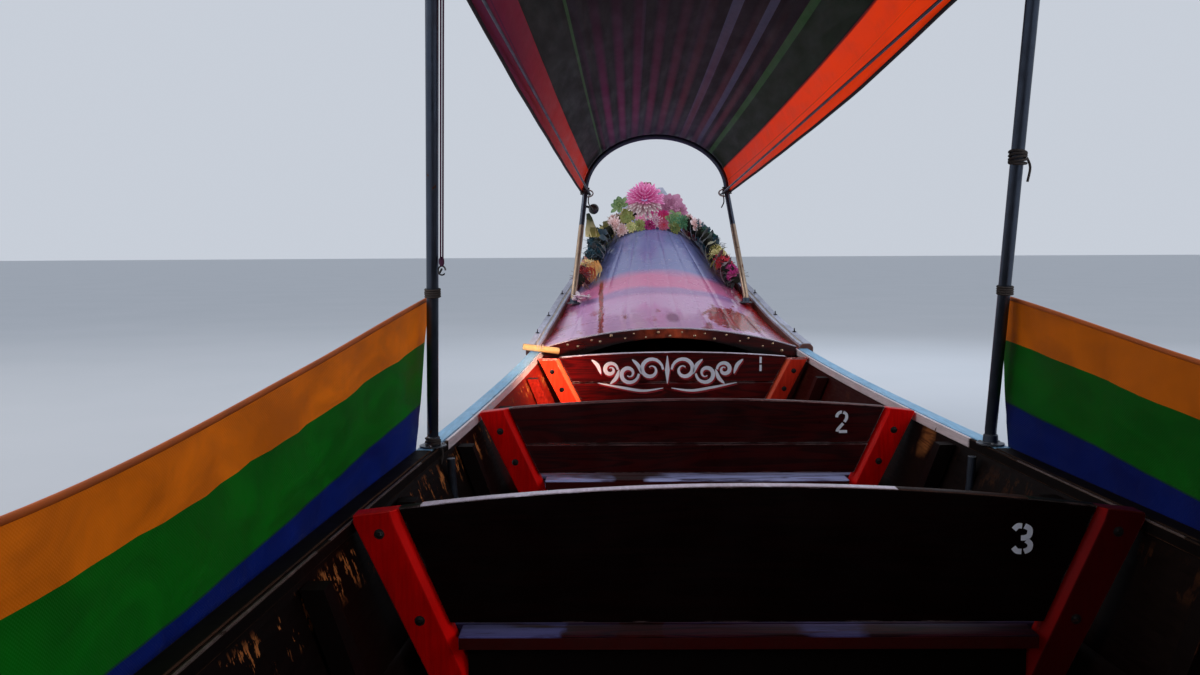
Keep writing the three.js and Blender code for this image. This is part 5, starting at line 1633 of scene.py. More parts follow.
class Blooms:
    """Closed petals, leaves and ribbons with a dye for each."""

    def __init__(self):
        self.points, self.faces, self.dyes = [], [], []

    def lens(self, spine, widths, normal, dye, tip=None, thickness=0.0009):
        """Thin closed blade along a spine, coloured from its foot to its tip."""
        spine, base = [Vector(p) for p in spine], len(self.points)
        count = len(spine)
        for k, p in enumerate(spine):
            along = (spine[min(k + 1, count - 1)] - spine[max(k - 1, 0)]).normalized()
            side_axis = along.cross(normal)
            side_axis = side_axis.normalized() if side_axis.length > 1e-6 else along.orthogonal()
            up = side_axis.cross(along)
            w = widths[k] / 2
            shade = dye if tip is None else tuple(lerp(a, b, (k / (count - 1)) ** 1.6)
                for a, b in zip(dye, tip))
            for q in (p + side_axis * w, p + up * thickness, p - side_axis * w, p - up * thickness):
                self.points.append(tuple(q))
                self.dyes.append(shade)
        for k in range(count - 1):
            for i in range(4):
                j = (i + 1) % 4
                a, b = base + 4 * k, base + 4 * (k + 1)
                self.faces.append((a + i, a + j, b + j, b + i))
        last = base + 4 * (count - 1)
        self.faces += [(base + 3, base + 2, base + 1, base), (last, last + 1, last + 2, last + 3)]

    def flower(self, centre, axis, radius, petals, layers, dye, tip, chance, cup=0.5):
        (axis, first, second), centre = square_to(axis), Vector(centre)
        for layer in range(layers):
            lift = lerp(0.1, 1.25, layer / max(1, layers - 1)) * cup * 2
            reach = radius * lerp(1, 0.45, layer / max(1, layers - 1))
            for k in range(petals):
                a = 2 * pi * (k + 0.5 * (layer % 2)) / petals + chance.uniform(-0.09, 0.09)
                out = first * cos(a) + second * sin(a)
                size = reach * chance.uniform(0.86, 1.06)
                spine = [centre + out * size * t * cos(lift * t) + axis * size * (sin(lift * t) * t * 0.9)
                    for t in (0.08, 0.4, 0.75, 1)]
                wide = size * 2.6 / petals + 0.004
                self.lens(spine, [wide * 0.4, wide, wide * 1.1, wide * 0.3], axis, dye, tip)

    def make(self, name, material, slot, **options):
        obj = piece(name, self.points, self.faces, material, slot, sharp_angle=50, **options)
        layer = obj.data.color_attributes.new("dye", "FLOAT_COLOR", "POINT")
        for k, shade in enumerate(self.dyes):
            layer.data[k].color = shade
        return obj


def make_flower_cloth():
    f = Finish("flower_cloth", roughness=0.7, sheen=0.25, emission=0.2)
    dye = f.node("VertexColor", layer_name="dye")["Color"]
    place = f.place()
    aged = f.mix(f.between(f.noise(place, 38, 4), 0.35, 0.7, 0, 0.45), dye,
        f.mix(1, dye, (0.5, 0.42, 0.4, 1), blend="MULTIPLY"))
    dusty = f.grime(place, aged, tone(70, 56, 48), 0.12)
    weave = f.use("weave", Place=place, Threads=2600)["Height"]
    # The emission is a painted glow of light through the petals
    return f.feed(bump=weave, strength=0.3, distance=0.0004, Base_Color=dusty, Emission_Color=dusty,
        Roughness=f.between(f.noise(place, 20, 3), 0.3, 0.7, 0.55, 0.85))


GARLAND_RADIUS, GARLAND_LIFT = 0.058, 0.0023
PINK, MAGENTA, BLUSH = tone(240, 120, 190), tone(200, 40, 144), tone(250, 236, 244)
MAUVE, ROSE, CREAM = tone(168, 110, 146), tone(212, 60, 84), tone(236, 226, 168)
LEAF, PALE_LEAF, DEEP_LEAF = tone(62, 112, 74), tone(152, 174, 114), tone(22, 48, 34)
EMERALD, DUSTY = tone(84, 142, 108), tone(198, 138, 174)
TEAL, NIGHT, OLIVE = tone(22, 76, 96), tone(20, 24, 34), tone(138, 132, 62)
AMBER, SCARLET, BEIGE = tone(206, 146, 80), tone(160, 26, 26), tone(200, 146, 136)
PLUM, SILVER = tone(92, 24, 40), tone(206, 196, 206)
DEEP_PINK, HOT_PINK, WHITE = tone(128, 18, 66), tone(255, 184, 232), tone(255, 250, 252)


def resting_height(x, y):
    """Height at which the garland's middle rests on the deck and the rails."""
    highest, radius = 0, GARLAND_RADIUS
    for turn in range(12):
        for share in (0, 0.35, 0.65, 0.9):
            reach = radius * share
            across = abs(x + reach * cos(turn * pi / 6))
            along = y + reach * sin(turn * pi / 6)
            if across > beam_at(along) + RAIL_OUT:
                continue
            on_rail = across > beam_at(along) - RAIL_IN - 0.004
            ground = sheer_at(along) + 0.055 if on_rail else deck_top(across, along)
            highest = max(highest, ground + sqrt(radius ** 2 - reach ** 2))
    return highest + GARLAND_LIFT


def garland_route():
    """Middle of the garland from the port rail's end, across the foredeck, to the starboard rail's end."""
    places = [(5.05, 0.895), (5.2, 0.89), (5.34, 0.895), (5.46, 0.93), (5.56, 0.94), (5.635, 0.88),
        (5.69, 0.72), (5.722, 0.38)]
    half = [(share * beam_at(y), y, resting_height(share * beam_at(y), y)) for y, share in places]
    port = [(-x, y, z) for x, y, z in half]
    return smooth_path([*port, (0, 5.735, resting_height(0, 5.735)), *half[::-1]], 8)


# Stretch of the garland from the port end, flower dye and tip, number of flowers, leaf dye
ZONES = [(0, 0.05, PLUM, SCARLET, 7, PLUM), (0.05, 0.11, AMBER, CREAM, 8, BEIGE),
    (0.11, 0.22, NIGHT, TEAL, 13, NIGHT), (0.22, 0.29, TEAL, NIGHT, 9, TEAL),
    (0.29, 0.35, OLIVE, CREAM, 7, DEEP_LEAF), (0.35, 0.41, BEIGE, BLUSH, 8, OLIVE),
    (0.41, 0.45, PALE_LEAF, CREAM, 5, PALE_LEAF), (0.45, 0.54, MAUVE, PINK, 9, MAUVE),
    (0.54, 0.6, LEAF, PALE_LEAF, 8, LEAF), (0.6, 0.655, BEIGE, BLUSH, 8, PLUM),
    (0.655, 0.73, TEAL, LEAF, 10, TEAL), (0.73, 0.8, NIGHT, TEAL, 9, NIGHT),
    (0.8, 0.86, OLIVE, CREAM, 8, OLIVE), (0.86, 0.93, SCARLET, ROSE, 10, PLUM),
    (0.93, 1, PLUM, MAGENTA, 9, NIGHT)]
# Flowers at the bow: middle, way it faces, radius, dye and tip
BOW_FLOWERS = [
    ((0.092, 5.7, 1.222), (0.2, -0.8, 0.6), 0.098, MAUVE, DUSTY),
    ((0.15, 5.69, 1.196), (0.4, -0.8, 0.5), 0.058, MAUVE, DUSTY),
    ((0.02, 5.64, 1.142), (0, -1, 0.4), 0.048, MAUVE, BLUSH),
    ((0.115, 5.645, 1.145), (0.3, -1, 0.3), 0.058, EMERALD, PALE_LEAF),
    ((0.165, 5.65, 1.135), (0.5, -0.8, 0.3), 0.048, LEAF, EMERALD),
    ((0.06, 5.625, 1.118), (0.1, -1, 0.3), 0.038, ROSE, MAUVE),
    ((-0.015, 5.625, 1.118), (0, -1, 0.3), 0.036, PLUM, MAGENTA),
    ((-0.07, 5.625, 1.116), (-0.1, -1, 0.3), 0.038, OLIVE, PALE_LEAF),
    ((-0.115, 5.63, 1.108), (-0.3, -1, 0.3), 0.038, PALE_LEAF, CREAM),
    ((-0.165, 5.635, 1.092), (-0.4, -1, 0.3), 0.04, BEIGE, BLUSH),
    ((0.12, 5.628, 1.1), (0.3, -1, 0.3), 0.036, LEAF, OLIVE),
    ((-0.175, 5.68, 1.226), (-0.5, -0.7, 0.6), 0.062, PALE_LEAF, LEAF),
    ((-0.135, 5.65, 1.16), (-0.3, -0.9, 0.3), 0.05, PALE_LEAF, OLIVE),
    ((-0.205, 5.63, 1.125), (-0.6, -0.7, 0.2), 0.048, BEIGE, BLUSH),
    ((0.235, 5.61, 1.115), (0.6, -0.7, 0.3), 0.052, BEIGE, BLUSH),
    ((0.01, 5.655, 1.175), (0, -1, 0.3), 0.045, MAGENTA, PINK),
    ((0.06, 5.645, 1.165), (0.1, -1, 0.2), 0.042, ROSE, MAGENTA),
    ((-0.06, 5.655, 1.16), (0, -1, 0.3), 0.04, PINK, BLUSH),
]
# Ribbons: share of the way from the port end, and dye
RIBBONS = [
    (0.17, NIGHT), (0.2, DEEP_LEAF), (0.245, TEAL), (0.275, TEAL), (0.32, OLIVE), (0.37, BEIGE),
    (0.395, BEIGE), (0.61, BEIGE), (0.64, BEIGE), (0.68, TEAL), (0.71, TEAL), (0.75, NIGHT),
    (0.78, DEEP_LEAF), (0.82, OLIVE), (0.9, PLUM), (0.96, PLUM),
]


def bunches(g, at, chance):
    """Flowers and leaves all along the garland."""
    for start, end, dye, tip, count, leaf_dye in ZONES:
        for k in range(count):
            middle, along = at(lerp(start, end, (k + 0.5) / count))
            if 0.2 < start < 0.8:
                middle = middle + Vector((copysign(0.016, middle.x) if abs(middle.x) > 0.1 else 0, 0.018, 0))
            a = chance.uniform(0, 2 * pi)
            first = along.orthogonal().normalized()
            out = (first * cos(a) + along.cross(first) * sin(a)).normalized()
            if out.z < -0.25:
                out = (out + Vector((0, 0, 1.1))).normalized()
            g.flower(middle + out * chance.uniform(0.014, 0.03), out, chance.uniform(0.026, 0.042), 8, 3, dye,
                tip, chance)
            for _ in range(5):
                b = chance.uniform(0, 2 * pi)
                way = (first * cos(b) + along.cross(first) * sin(b)
                    + along * chance.uniform(-0.8, 0.8)).normalized()
                size = chance.uniform(0.04, 0.062)
                start_at = middle + way * 0.008
                droop = Vector((0, 0, -0.012))
                spine = [start_at + way * size * t + droop * t * t for t in (0, 0.35, 0.7, 1)]
                g.lens(spine, [0.006, 0.02, 0.022, 0.003], Vector(UP), leaf_dye,
                    tuple(0.7 * c for c in leaf_dye))


def bow_flowers(g, chance):
    """Big pink chrysanthemum at the bow, and the flowers beside it."""
    heart = Vector((-0.04, 5.7, 1.25))
    for layer in range(9):
        tilt = lerp(0.12, 1.62, layer / 8)
        ring = 8 + int(24 * sin(tilt))
        for k in range(ring):
            a = 2 * pi * (k + 0.5 * (layer % 2)) / ring + chance.uniform(-0.08, 0.08)
            view, first, second = square_to((0, -0.72, 0.7))
            way = (view * cos(tilt) + (first * cos(a) + second * sin(a)) * sin(tilt)).normalized()
            size = 0.112 * chance.uniform(0.9, 1.06)
            spine = [heart + way * size * t + Vector((0, 0, -0.012)) * t * t for t in (0.25, 0.6, 0.88, 1)]
            low_side = way.z < -0.1
            g.lens(spine, [0.006, 0.011, 0.013, 0.005], view, DEEP_PINK if low_side else MAGENTA,
                WHITE if low_side else HOT_PINK, 0.0016)
    for centre, axis, radius, dye, tip in BOW_FLOWERS:
        g.flower(centre, axis, radius, 11 if radius < 0.05 else 6, 4, dye, tip, chance, cup=0.42)


def fringes(g, at, chance):
    """Threads that hang inside the port end."""
    for k in range(60):
        share = chance.uniform(0.04, 0.1)
        middle = at(share)[0]
        x = middle.x + chance.uniform(0, 0.06)
        size = chance.uniform(0.04, 0.075)
        dye, tip = (AMBER, CREAM) if share > 0.055 else (SCARLET, AMBER)
        drift = Vector((chance.uniform(-0.02, 0.03), chance.uniform(-0.02, 0.01), -size))
        spine = [Vector((x, middle.y, middle.z + 0.03)) + drift * t + Vector((0.01, -0.008, 0)) * sin(3 * t)
            for t in (0, 0.35, 0.7, 1)]
        g.lens(spine, [0.005, 0.006, 0.005, 0.003], Vector(AFT), dye, tip, 0.0007)


def garland_ribbons(at):
    ribbons = Blooms()
    for share, dye in RIBBONS:
        middle, along = at(share)
        inward = Vector((-1 if middle.x > 0 else 1, 0, 0))
        spine = []
        for i in range(15):
            t = i / 14
            spine.append(middle + Vector((0, 0, 0.055)) * cos(pi * t) + inward * (0.056 * sin(pi * t))
                + along * (0.05 * (t - 0.5) + 0.01 * sin(11 * t + share * 40)))
        ribbons.lens(spine, [0.03 + 0.008 * sin(9 * i) for i in range(15)], inward, dye, dim(dye, 1.25),
            0.001)
    ribbons.make("garland_ribbons", ribbon_satin, "garland_flowers")


def garland():
    route, chance, g, lengths = garland_route(), random.Random(42), Blooms(), [0]
    for a, b in zip(route, route[1:]):
        lengths.append(lengths[-1] + (b - a).length)

    def at(share):
        """Place and direction at a share of the way from the port end."""
        goal = share * lengths[-1]
        k = max(1, min(len(route) - 1, sum(d < goal for d in lengths)))
        t = (goal - lengths[k - 1]) / max(1e-6, lengths[k] - lengths[k - 1])
        return route[k - 1].lerp(route[k], t), (route[k] - route[k - 1]).normalized()

    bunches(g, at, chance)
    bow_flowers(g, chance)
    fringes(g, at, chance)
    g.make("garland_flowers", flower_cloth, "garland_flowers", solid="garland")
    core = Parts().tube(route, [0.026 + 0.006 * sin(2.3 * k) for k in range(len(route))], 12)
    core.make("garland_core", garland_moss, "garland_flowers")
    garland_ribbons(at)
    crumpled_heap(chance)


def crumpled_heap(chance):
    """Shiny crumpled wrapping that lies on the deck at the port hoop's foot."""
    centre = Vector((-0.362, 4.86, deck_top(0.36, 4.86) + 0.024))
    heap = Blooms()
    for k in range(34):
        a = chance.uniform(0, 2 * pi)
        way = Vector((cos(a), 0.8 * sin(a), chance.uniform(0, 0.9))).normalized()
        size = chance.uniform(0.03, 0.052)
        spine = [centre + way * size * t + Vector((0, 0, 0.006 * sin(6 * t + k)))
            for t in (0, 0.3, 0.6, 0.85, 1)]
        dye = (SILVER, PINK, BLUSH, ROSE)[k % 4]
        heap.lens(spine, [0.012, 0.026, 0.02, 0.026, 0.01], Vector(UP), dye, BLUSH, 0.0012)
    heap.make("crumpled_wrapping", ribbon_satin, "garland_flowers")


def make_ribbon_satin():
    f = Finish("ribbon_satin", roughness=0.35, sheen=0.4, coat=0.2)
    dye = f.node("VertexColor", layer_name="dye")["Color"]
    place = f.place()
    streak = f.noise(f.place((40, 6, 40)), 4, 3)
    shade = f.mix(f.between(streak, 0.35, 0.7, 0, 0.5), dye, f.mix(1, dye, (0.45, 0.45, 0.5, 1),
        blend="MULTIPLY"))
    return f.feed(bump=f.noise(place, 60, 3), strength=0.4, distance=0.001, Base_Color=shade,
        Roughness=f.between(streak, 0.3, 0.7, 0.28, 0.5))


flower_cloth = make_flower_cloth()
ribbon_satin = make_ribbon_satin()
garland_moss = moulded("garland_moss", tone(34, 40, 26), roughness=0.9, speckle=0.3, bump_scale=90)
garland()


# Bow fittings

def bow_lamp():
    """Round lamp at the port hoop's foot, with the dark cloth tied beside it."""
    centre = (-0.309, 5.236, 1.187)
    lamp = Parts().ball(centre, 0.025, 20)
    lamp.turned([(0.0255, -0.003), (0.0262, 0), (0.0255, 0.003)], centre, (0.2, 1, 0), 20)
    lamp.tube([(-0.331, 5.24, 1.196), (-0.346, 5.244, 1.2)], 0.006, 10)
    lamp.make("bow_lamp", ball_black, "pipe_steel")
    cloth, top = Blooms(), Vector((-0.338, 5.232, 1.165))
    for k in range(9):
        spine = [top + Vector((0.0065 * k * t + 0.004 * sin(5 * t + k), -0.006 * sin(4 * t + k), -0.115 * t))
            for t in (0, 0.2, 0.45, 0.7, 1)]
        cloth.lens(spine, [0.01, 0.018, 0.022, 0.024, 0.018], Vector((0, -1, 0.2)), DEEP_LEAF,
            OLIVE if k % 3 else CREAM, 0.0016)
    cloth.make("tied_cloth", flower_cloth, "garland_flowers")


def bamboo_peg():
    """Cut bamboo that lies askew on the port cap, with its knots and its tie."""
    peg_y = 4.095
    axis_z = cap_top(peg_y) + GAP + 0.018
    lie = Vector((0.975, 0.17, -0.14)).normalized()
    peg_base = Vector((-0.505, peg_y, axis_z)) + 0.505 * lie
    skin = Parts().turned([(0.0123, -0.572), (0.0128, -0.545), (0.0118, -0.541), (0.0129, -0.537),
        (0.0124, -0.5), (0.0128, -0.47), (0.0119, -0.466), (0.013, -0.462), (0.0127, -0.434), (0.0112, -0.43),
        (0.0078, -0.4305)], peg_base, lie, 24)
    skin.make("bamboo_peg", bamboo_skin, "bamboo", solid="bow_peg")
    core = Parts().turned([(0.0096, -0.4312), (0.0094, -0.4296), (0.004, -0.429)], peg_base, lie, 20)
    core.make("bamboo_peg_core", bamboo_core, "bamboo")
    ties = Parts()
    for x in (-0.515, -0.505, -0.495):
        ties.tube([(x + 0.002 * sin(a), peg_y + 0.015 * cos(a), axis_z + 0.015 * sin(a))
            for a in around(24, 13)], 0.0022, 6)
    ties.make("bamboo_peg_tie", rope_pale, "bamboo")


def first_post(side, z):
    """Middle line of the first full hoop's post at a height."""
    foot_x, foot_y, top_x, top_y, top_z, _ = HOOPS["canopy_hoop_1"]
    share = (z - cap_top(foot_y)) / (top_z - cap_top(foot_y))
    return Vector((side * lerp(foot_x, top_x, share), lerp(foot_y, top_y, share), z))


def post_ties():
    low, high = cap_top(HOOPS["canopy_hoop_1"][1]), HOOPS["canopy_hoop_1"][4]
    for word, share in (("starboard", 0.6), ("port", 0.006)):
        middle = first_post(SIDES[word], lerp(low, high, share))
        rope = Parts()
        wind(rope, middle, 0.0166, 5, 0.0055, 0.003, 0.003, 1)
        ends = [(0.017, -0.004, 0), (0.024, -0.006, -0.02), (0.019, -0.006, -0.05)]
        rope.pipe([middle + Vector(p) for p in ends], 4, 0.0026, 6)
        rope.make(f"post_tie_{word}", rope_dark, "pipe_steel")


def curtain_line():
    """Doubled purple line that hangs taut beside the port post, down to its hook."""
    def beside_post(z, out):
        return first_post(-1, z) + Vector((out, -0.004, 0))

    line, hook, middle = Parts(), Parts(), beside_post(0.928, 0.021)
    for gap in (0.018, 0.023):
        line.tube([beside_post(z, gap) for z in spread(0.952, 1.6, 0.05)], 0.0019, 8)
    line.turned([(0.004, 0), (0.0062, 0.006), (0.0058, 0.014), (0.0035, 0.02)], beside_post(0.938, 0.0205),
        UP, 12)
    line.make("curtain_line", rope_purple, "pipe_steel")
    hook.tube([middle + Vector((0.008 * cos(a), 0, 0.01 * sin(a))) for a in around(18, 17)], 0.0018, 8)
    hook.tube([beside_post(0.921, 0.013), beside_post(0.924, 0.017), beside_post(0.932, 0.021)], 0.0022, 8)
    hook.make("curtain_line_hook", bolt_dark, "pipe_steel")


bow_lamp()
bamboo_peg()
post_ties()
curtain_line()


# Stern: deck boards, driver's seat and fuel tank

def hull_outline(y, thickness, low, high):
    """Plate across the hull: its corners from one side to the other."""
    side = []
    for z in spread(low, high, 0.07):
        side.append((min(width_at(y, z), width_at(y + thickness, z)) - 0.0012, z))
    return side + [(-x, z) for x, z in reversed(side)]


# Half of the gap between two boards
BOARD_GAP = 0.0012


def board_row(parts, wide, start, end, low, top, count, across=True):
    """Boards side by side between two edges, across the boat or along it, with a gap between them."""
    for k in range(count):
        near, far = lerp(start, end, k / count) + BOARD_GAP, lerp(start, end, (k + 1) / count) - BOARD_GAP
        if across:
            parts.box((-wide, near, low), (wide, far, top))
        else:
            parts.box((near, wide[0], low), (far, wide[1], top))
    return parts


def stern_boards():
    low, top, back, front = STERN_DECK_TOP - 0.03, STERN_DECK_TOP, -6.249, -5.0003
    beams_at = (-6.18, -5.62, -5.06)
    count, half = 11, min(width_at(back, low), width_at(front, low)) - BOARD_GAP
    boards = board_row(Parts(), (back, front), -half, half, low, top, count, across=False)
    soften(boards.make("stern_boards", stern_wood, "stern_deck_wood", solid="stern_deck"), 0.003)
    beams, stiles, nails = Parts(), Parts(), Parts()
    for y in beams_at:
        reach = width_at(y, low - 0.05) - 0.01
        beams.box((-reach, y - 0.025, low - 0.055), (reach, y + 0.025, low + 0.001))
    soften(beams.make("stern_deck_beams", frame_paint, "stern_deck_wood"), 0.003)
    wall = Parts().prism([(x, -5.0311, z) for x, z in hull_outline(-5.031, 0.03, FLOOR_LOW, low)],
        (0, 0.0295, 0))
    soften(wall.make("stern_bulkhead", wale_paint, "stern_deck_wood"), 0.002)
    for x in (-0.52, -0.26, 0, 0.26, 0.52):
        stiles.box((x - 0.03, -5.0025, FLOOR_LOW + 0.12), (x + 0.03, -4.992, low - 0.004))
    soften(stiles.make("bulkhead_stiles", frame_paint, "stern_deck_wood"), 0.002)
    for k in range(count):
        for y in beams_at:
            for shift in (-0.03, 0.03):
                nails.nail((lerp(-half, half, (k + 0.5) / count) + shift, y, top))
    nails.make("stern_deck_nails", bolt_dark, "stern_deck_wood")


def driver_seat():
    back, front, low, top, foot = -4.52, -4.18, 0.26, 0.29, FLOOR_LOW + 0.025
    wide = min(rib_width(y, low) for y in (back, front))
    planks, legs, nails = board_row(Parts(), wide, back, front, low, top, 3), Parts(), Parts()
    soften(planks.make("driver_seat_planks", stern_wood, "bench_wood", solid="driver_seat"), 0.004, 3)
    for side in SIDES.values():
        legs.box((side * 0.275, back + 0.022, foot), (side * 0.325, front - 0.022, low - 0.0005))
    soften(legs.make("driver_seat_legs", frame_paint, "bench_wood"), 0.003)
    for k in range(3):
        for x in (-0.32, -0.28, 0.28, 0.32):
            nails.nail((x, lerp(back, front, (k + 0.5) / 3), top))
    nails.make("driver_seat_nails", bolt_dark, "bench_wood")


def rounded_square(half_x, half_y, power, count):
    """Outline of a square with round corners. A small power gives tight corners."""
    return [(copysign(abs(cos(a)) ** power, cos(a)) * half_x, copysign(abs(sin(a)) ** power, sin(a)) * half_y)
        for a in around(count)]


def fuel_tank():
    """Moulded can with waist ribs, a grip across its top and a screw cap."""
    low, high = FLOOR_LOW + 0.0255, 0.25
    # Heights above the foot, and how far the side is drawn in there
    walls = [(0, 0.016), (0.01, 0.003), (0.024, 0)]
    for rib in (0.074, 0.15, 0.226):
        walls += [(rib, 0), (rib + 0.006, 0.006), (rib + 0.018, 0.006), (rib + 0.024, 0)]
    walls += [(0.304, 0), (0.318, 0.006), (0.3292, 0.022)]
    rings = [[(0.22 + x, -4.795 + y, low + rise) for x, y in rounded_square(0.16 - inset, 0.155 - inset,
        2 / 7, 48)] for rise, inset in walls]
    Parts().loft(rings).make("tank_shell", tank_blue, "tank_plastic", solid="fuel_tank", sharp_angle=30)
    grip = Parts().pipe([(0.3, -4.88, high - 0.004), (0.3, -4.87, high + 0.014), (0.3, -4.84, high + 0.021),
        (0.3, -4.76, high + 0.021), (0.3, -4.73, high + 0.014), (0.3, -4.72, high - 0.004)], 5, 0.009, 14)
    grip.make("tank_grip", tank_blue, "tank_plastic")
    cap, ribs = (0.16, -4.7), 28
    crown = Parts().turned([(0.0315, 0), (0.0315, 0.006), (0.029, 0.008), (0.029, 0.012)],
        (*cap, high - 0.004), UP, 28)
    crown.turned([(0.032, 0.008), (0.032, 0.026), (0.0295, 0.031), (0.012, 0.032)], (*cap, high), UP, 28)
    for k in range(ribs):
        a = 2 * pi * k / ribs
        crown.turned([(0.0018, 0), (0.0018, 0.015), (0.0006, 0.017)],
            (cap[0] + 0.0318 * cos(a), cap[1] + 0.0318 * sin(a), high + 0.009), UP, 8)
    crown.make("tank_cap", rubber, "tank_plastic")
    tap = Parts().turned([(0.012, 0), (0.012, 0.008), (0.007, 0.01), (0.007, 0.022), (0.009, 0.024),
        (0.009, 0.03)], (0.2, -4.9, high - 0.004), UP, 16)
    tap.make("tank_vent", bright_steel, "tank_plastic")


# Turret, and engine unit in millimetres in its own tilted frame: +Y to the grip, shaft along -Y

MM = 0.001
SHAFT_Z = 110
ENGINE = Matrix.Translation((0, TURRET_Y, PIVOT_Z)) @ Matrix.Rotation(TAIL_DROP, 4, "X")


def on_engine(parts, name, material, slot, solid=None, soft=0, segments=2, angle=40):
    """Piece of the engine unit, drawn in millimetres, with its edges rounded by soft millimetres."""
    obj = parts.make(name, material, slot, placed=ENGINE, body="engine", solid=solid)
    return soften(obj, soft * MM, segments, angle) if soft else obj


def bolt_circle(parts, centre, axis, radius, count, size=0.008, height=0.006, turn=0):
    axis, first, second = square_to(axis)
    for a in around(count):
        out = first * cos(a + turn) + second * sin(a + turn)
        parts.bolt(Vector(centre) + radius * out, axis, size, height)
    return parts


def turret():
    foot = STERN_DECK_TOP + GAP
    base = Parts().turned([(0.1485, 0), (0.15, 0.002), (0.15, 0.0225), (0.1475, 0.0255), (0.082, 0.0335),
        (0.076, 0.04), (0.0735, 0.06), (0.072, 0.12), (0.0695, 0.23), (0.07, 0.252), (0.0745, 0.262),
        (0.089, 0.2665), (0.092, 0.27), (0.092, 0.2865), (0.09, 0.2895)], (0, TURRET_Y, foot), UP, 48)
    for k in range(6):
        a = pi * k / 3 + pi / 6
        out, side = Vector((cos(a), sin(a), 0)), Vector((-sin(a), cos(a), 0)) * 0.004
        corner = Vector((0, TURRET_Y, foot))
        web = [corner + out * r + Vector((0, 0, z)) - side for r, z in ((0.066, 0.026), (0.138, 0.022),
            (0.138, 0.03), (0.082, 0.112), (0.066, 0.118))]
        base.prism(web, 2 * side)
    soften(base.make("turret_column", steel_paint, "painted_steel", solid="turret_base"), 0.002)
    bolts = bolt_circle(Parts(), (0, TURRET_Y, foot + 0.0245), UP, 0.122, 6, 0.0095, 0.009)
    bolts.turned([(0.005, 0), (0.005, 0.004), (0.0028, 0.006), (0.0034, 0.01)],
        (0.092, TURRET_Y, foot + 0.278), ACROSS, 10)
    bolts.make("turret_bolts", bolt_dark, "painted_steel")

    low = foot + 0.2903
    yoke = Parts()
    bridge = [(x, TURRET_Y - 0.055, z) for x, z in ((-0.122, low), (0.122, low), (0.122, low + 0.034),
        (-0.122, low + 0.034))]
    yoke.prism(bridge, (0, 0.11, 0))
    for side in SIDES.values():
        inner_x, outer_x = side * 0.1, side * 0.122
        ear = [(inner_x, TURRET_Y + y, z) for y, z in ((-0.055, low + 0.03), (0.055, low + 0.03),
            (0.055, 0.925), (0.03, 0.9725), (-0.03, 0.9725), (-0.055, 0.925))]
        yoke.prism(ear, (outer_x - inner_x, 0, 0))
        yoke.washer((side * 0.111, TURRET_Y, PIVOT_Z), ACROSS, 0.0188, 0.0415, -0.0125, 0.0125, 40)
        web = [(side * 0.1, TURRET_Y - 0.004, low + 0.032), (side * 0.062, TURRET_Y - 0.004, low + 0.032),
            (side * 0.1, TURRET_Y - 0.004, low + 0.078)]
        yoke.prism(web, (0, 0.008, 0))
    soften(yoke.make("yoke", steel_paint, "painted_steel", solid="turret_yoke", body="turret"), 0.0025, 3)
    centre = Parts().bolt((0, TURRET_Y, low + 0.034), UP, 0.017, 0.014)
    centre.make("yoke_nut", bolt_dark, "painted_steel", body="turret")


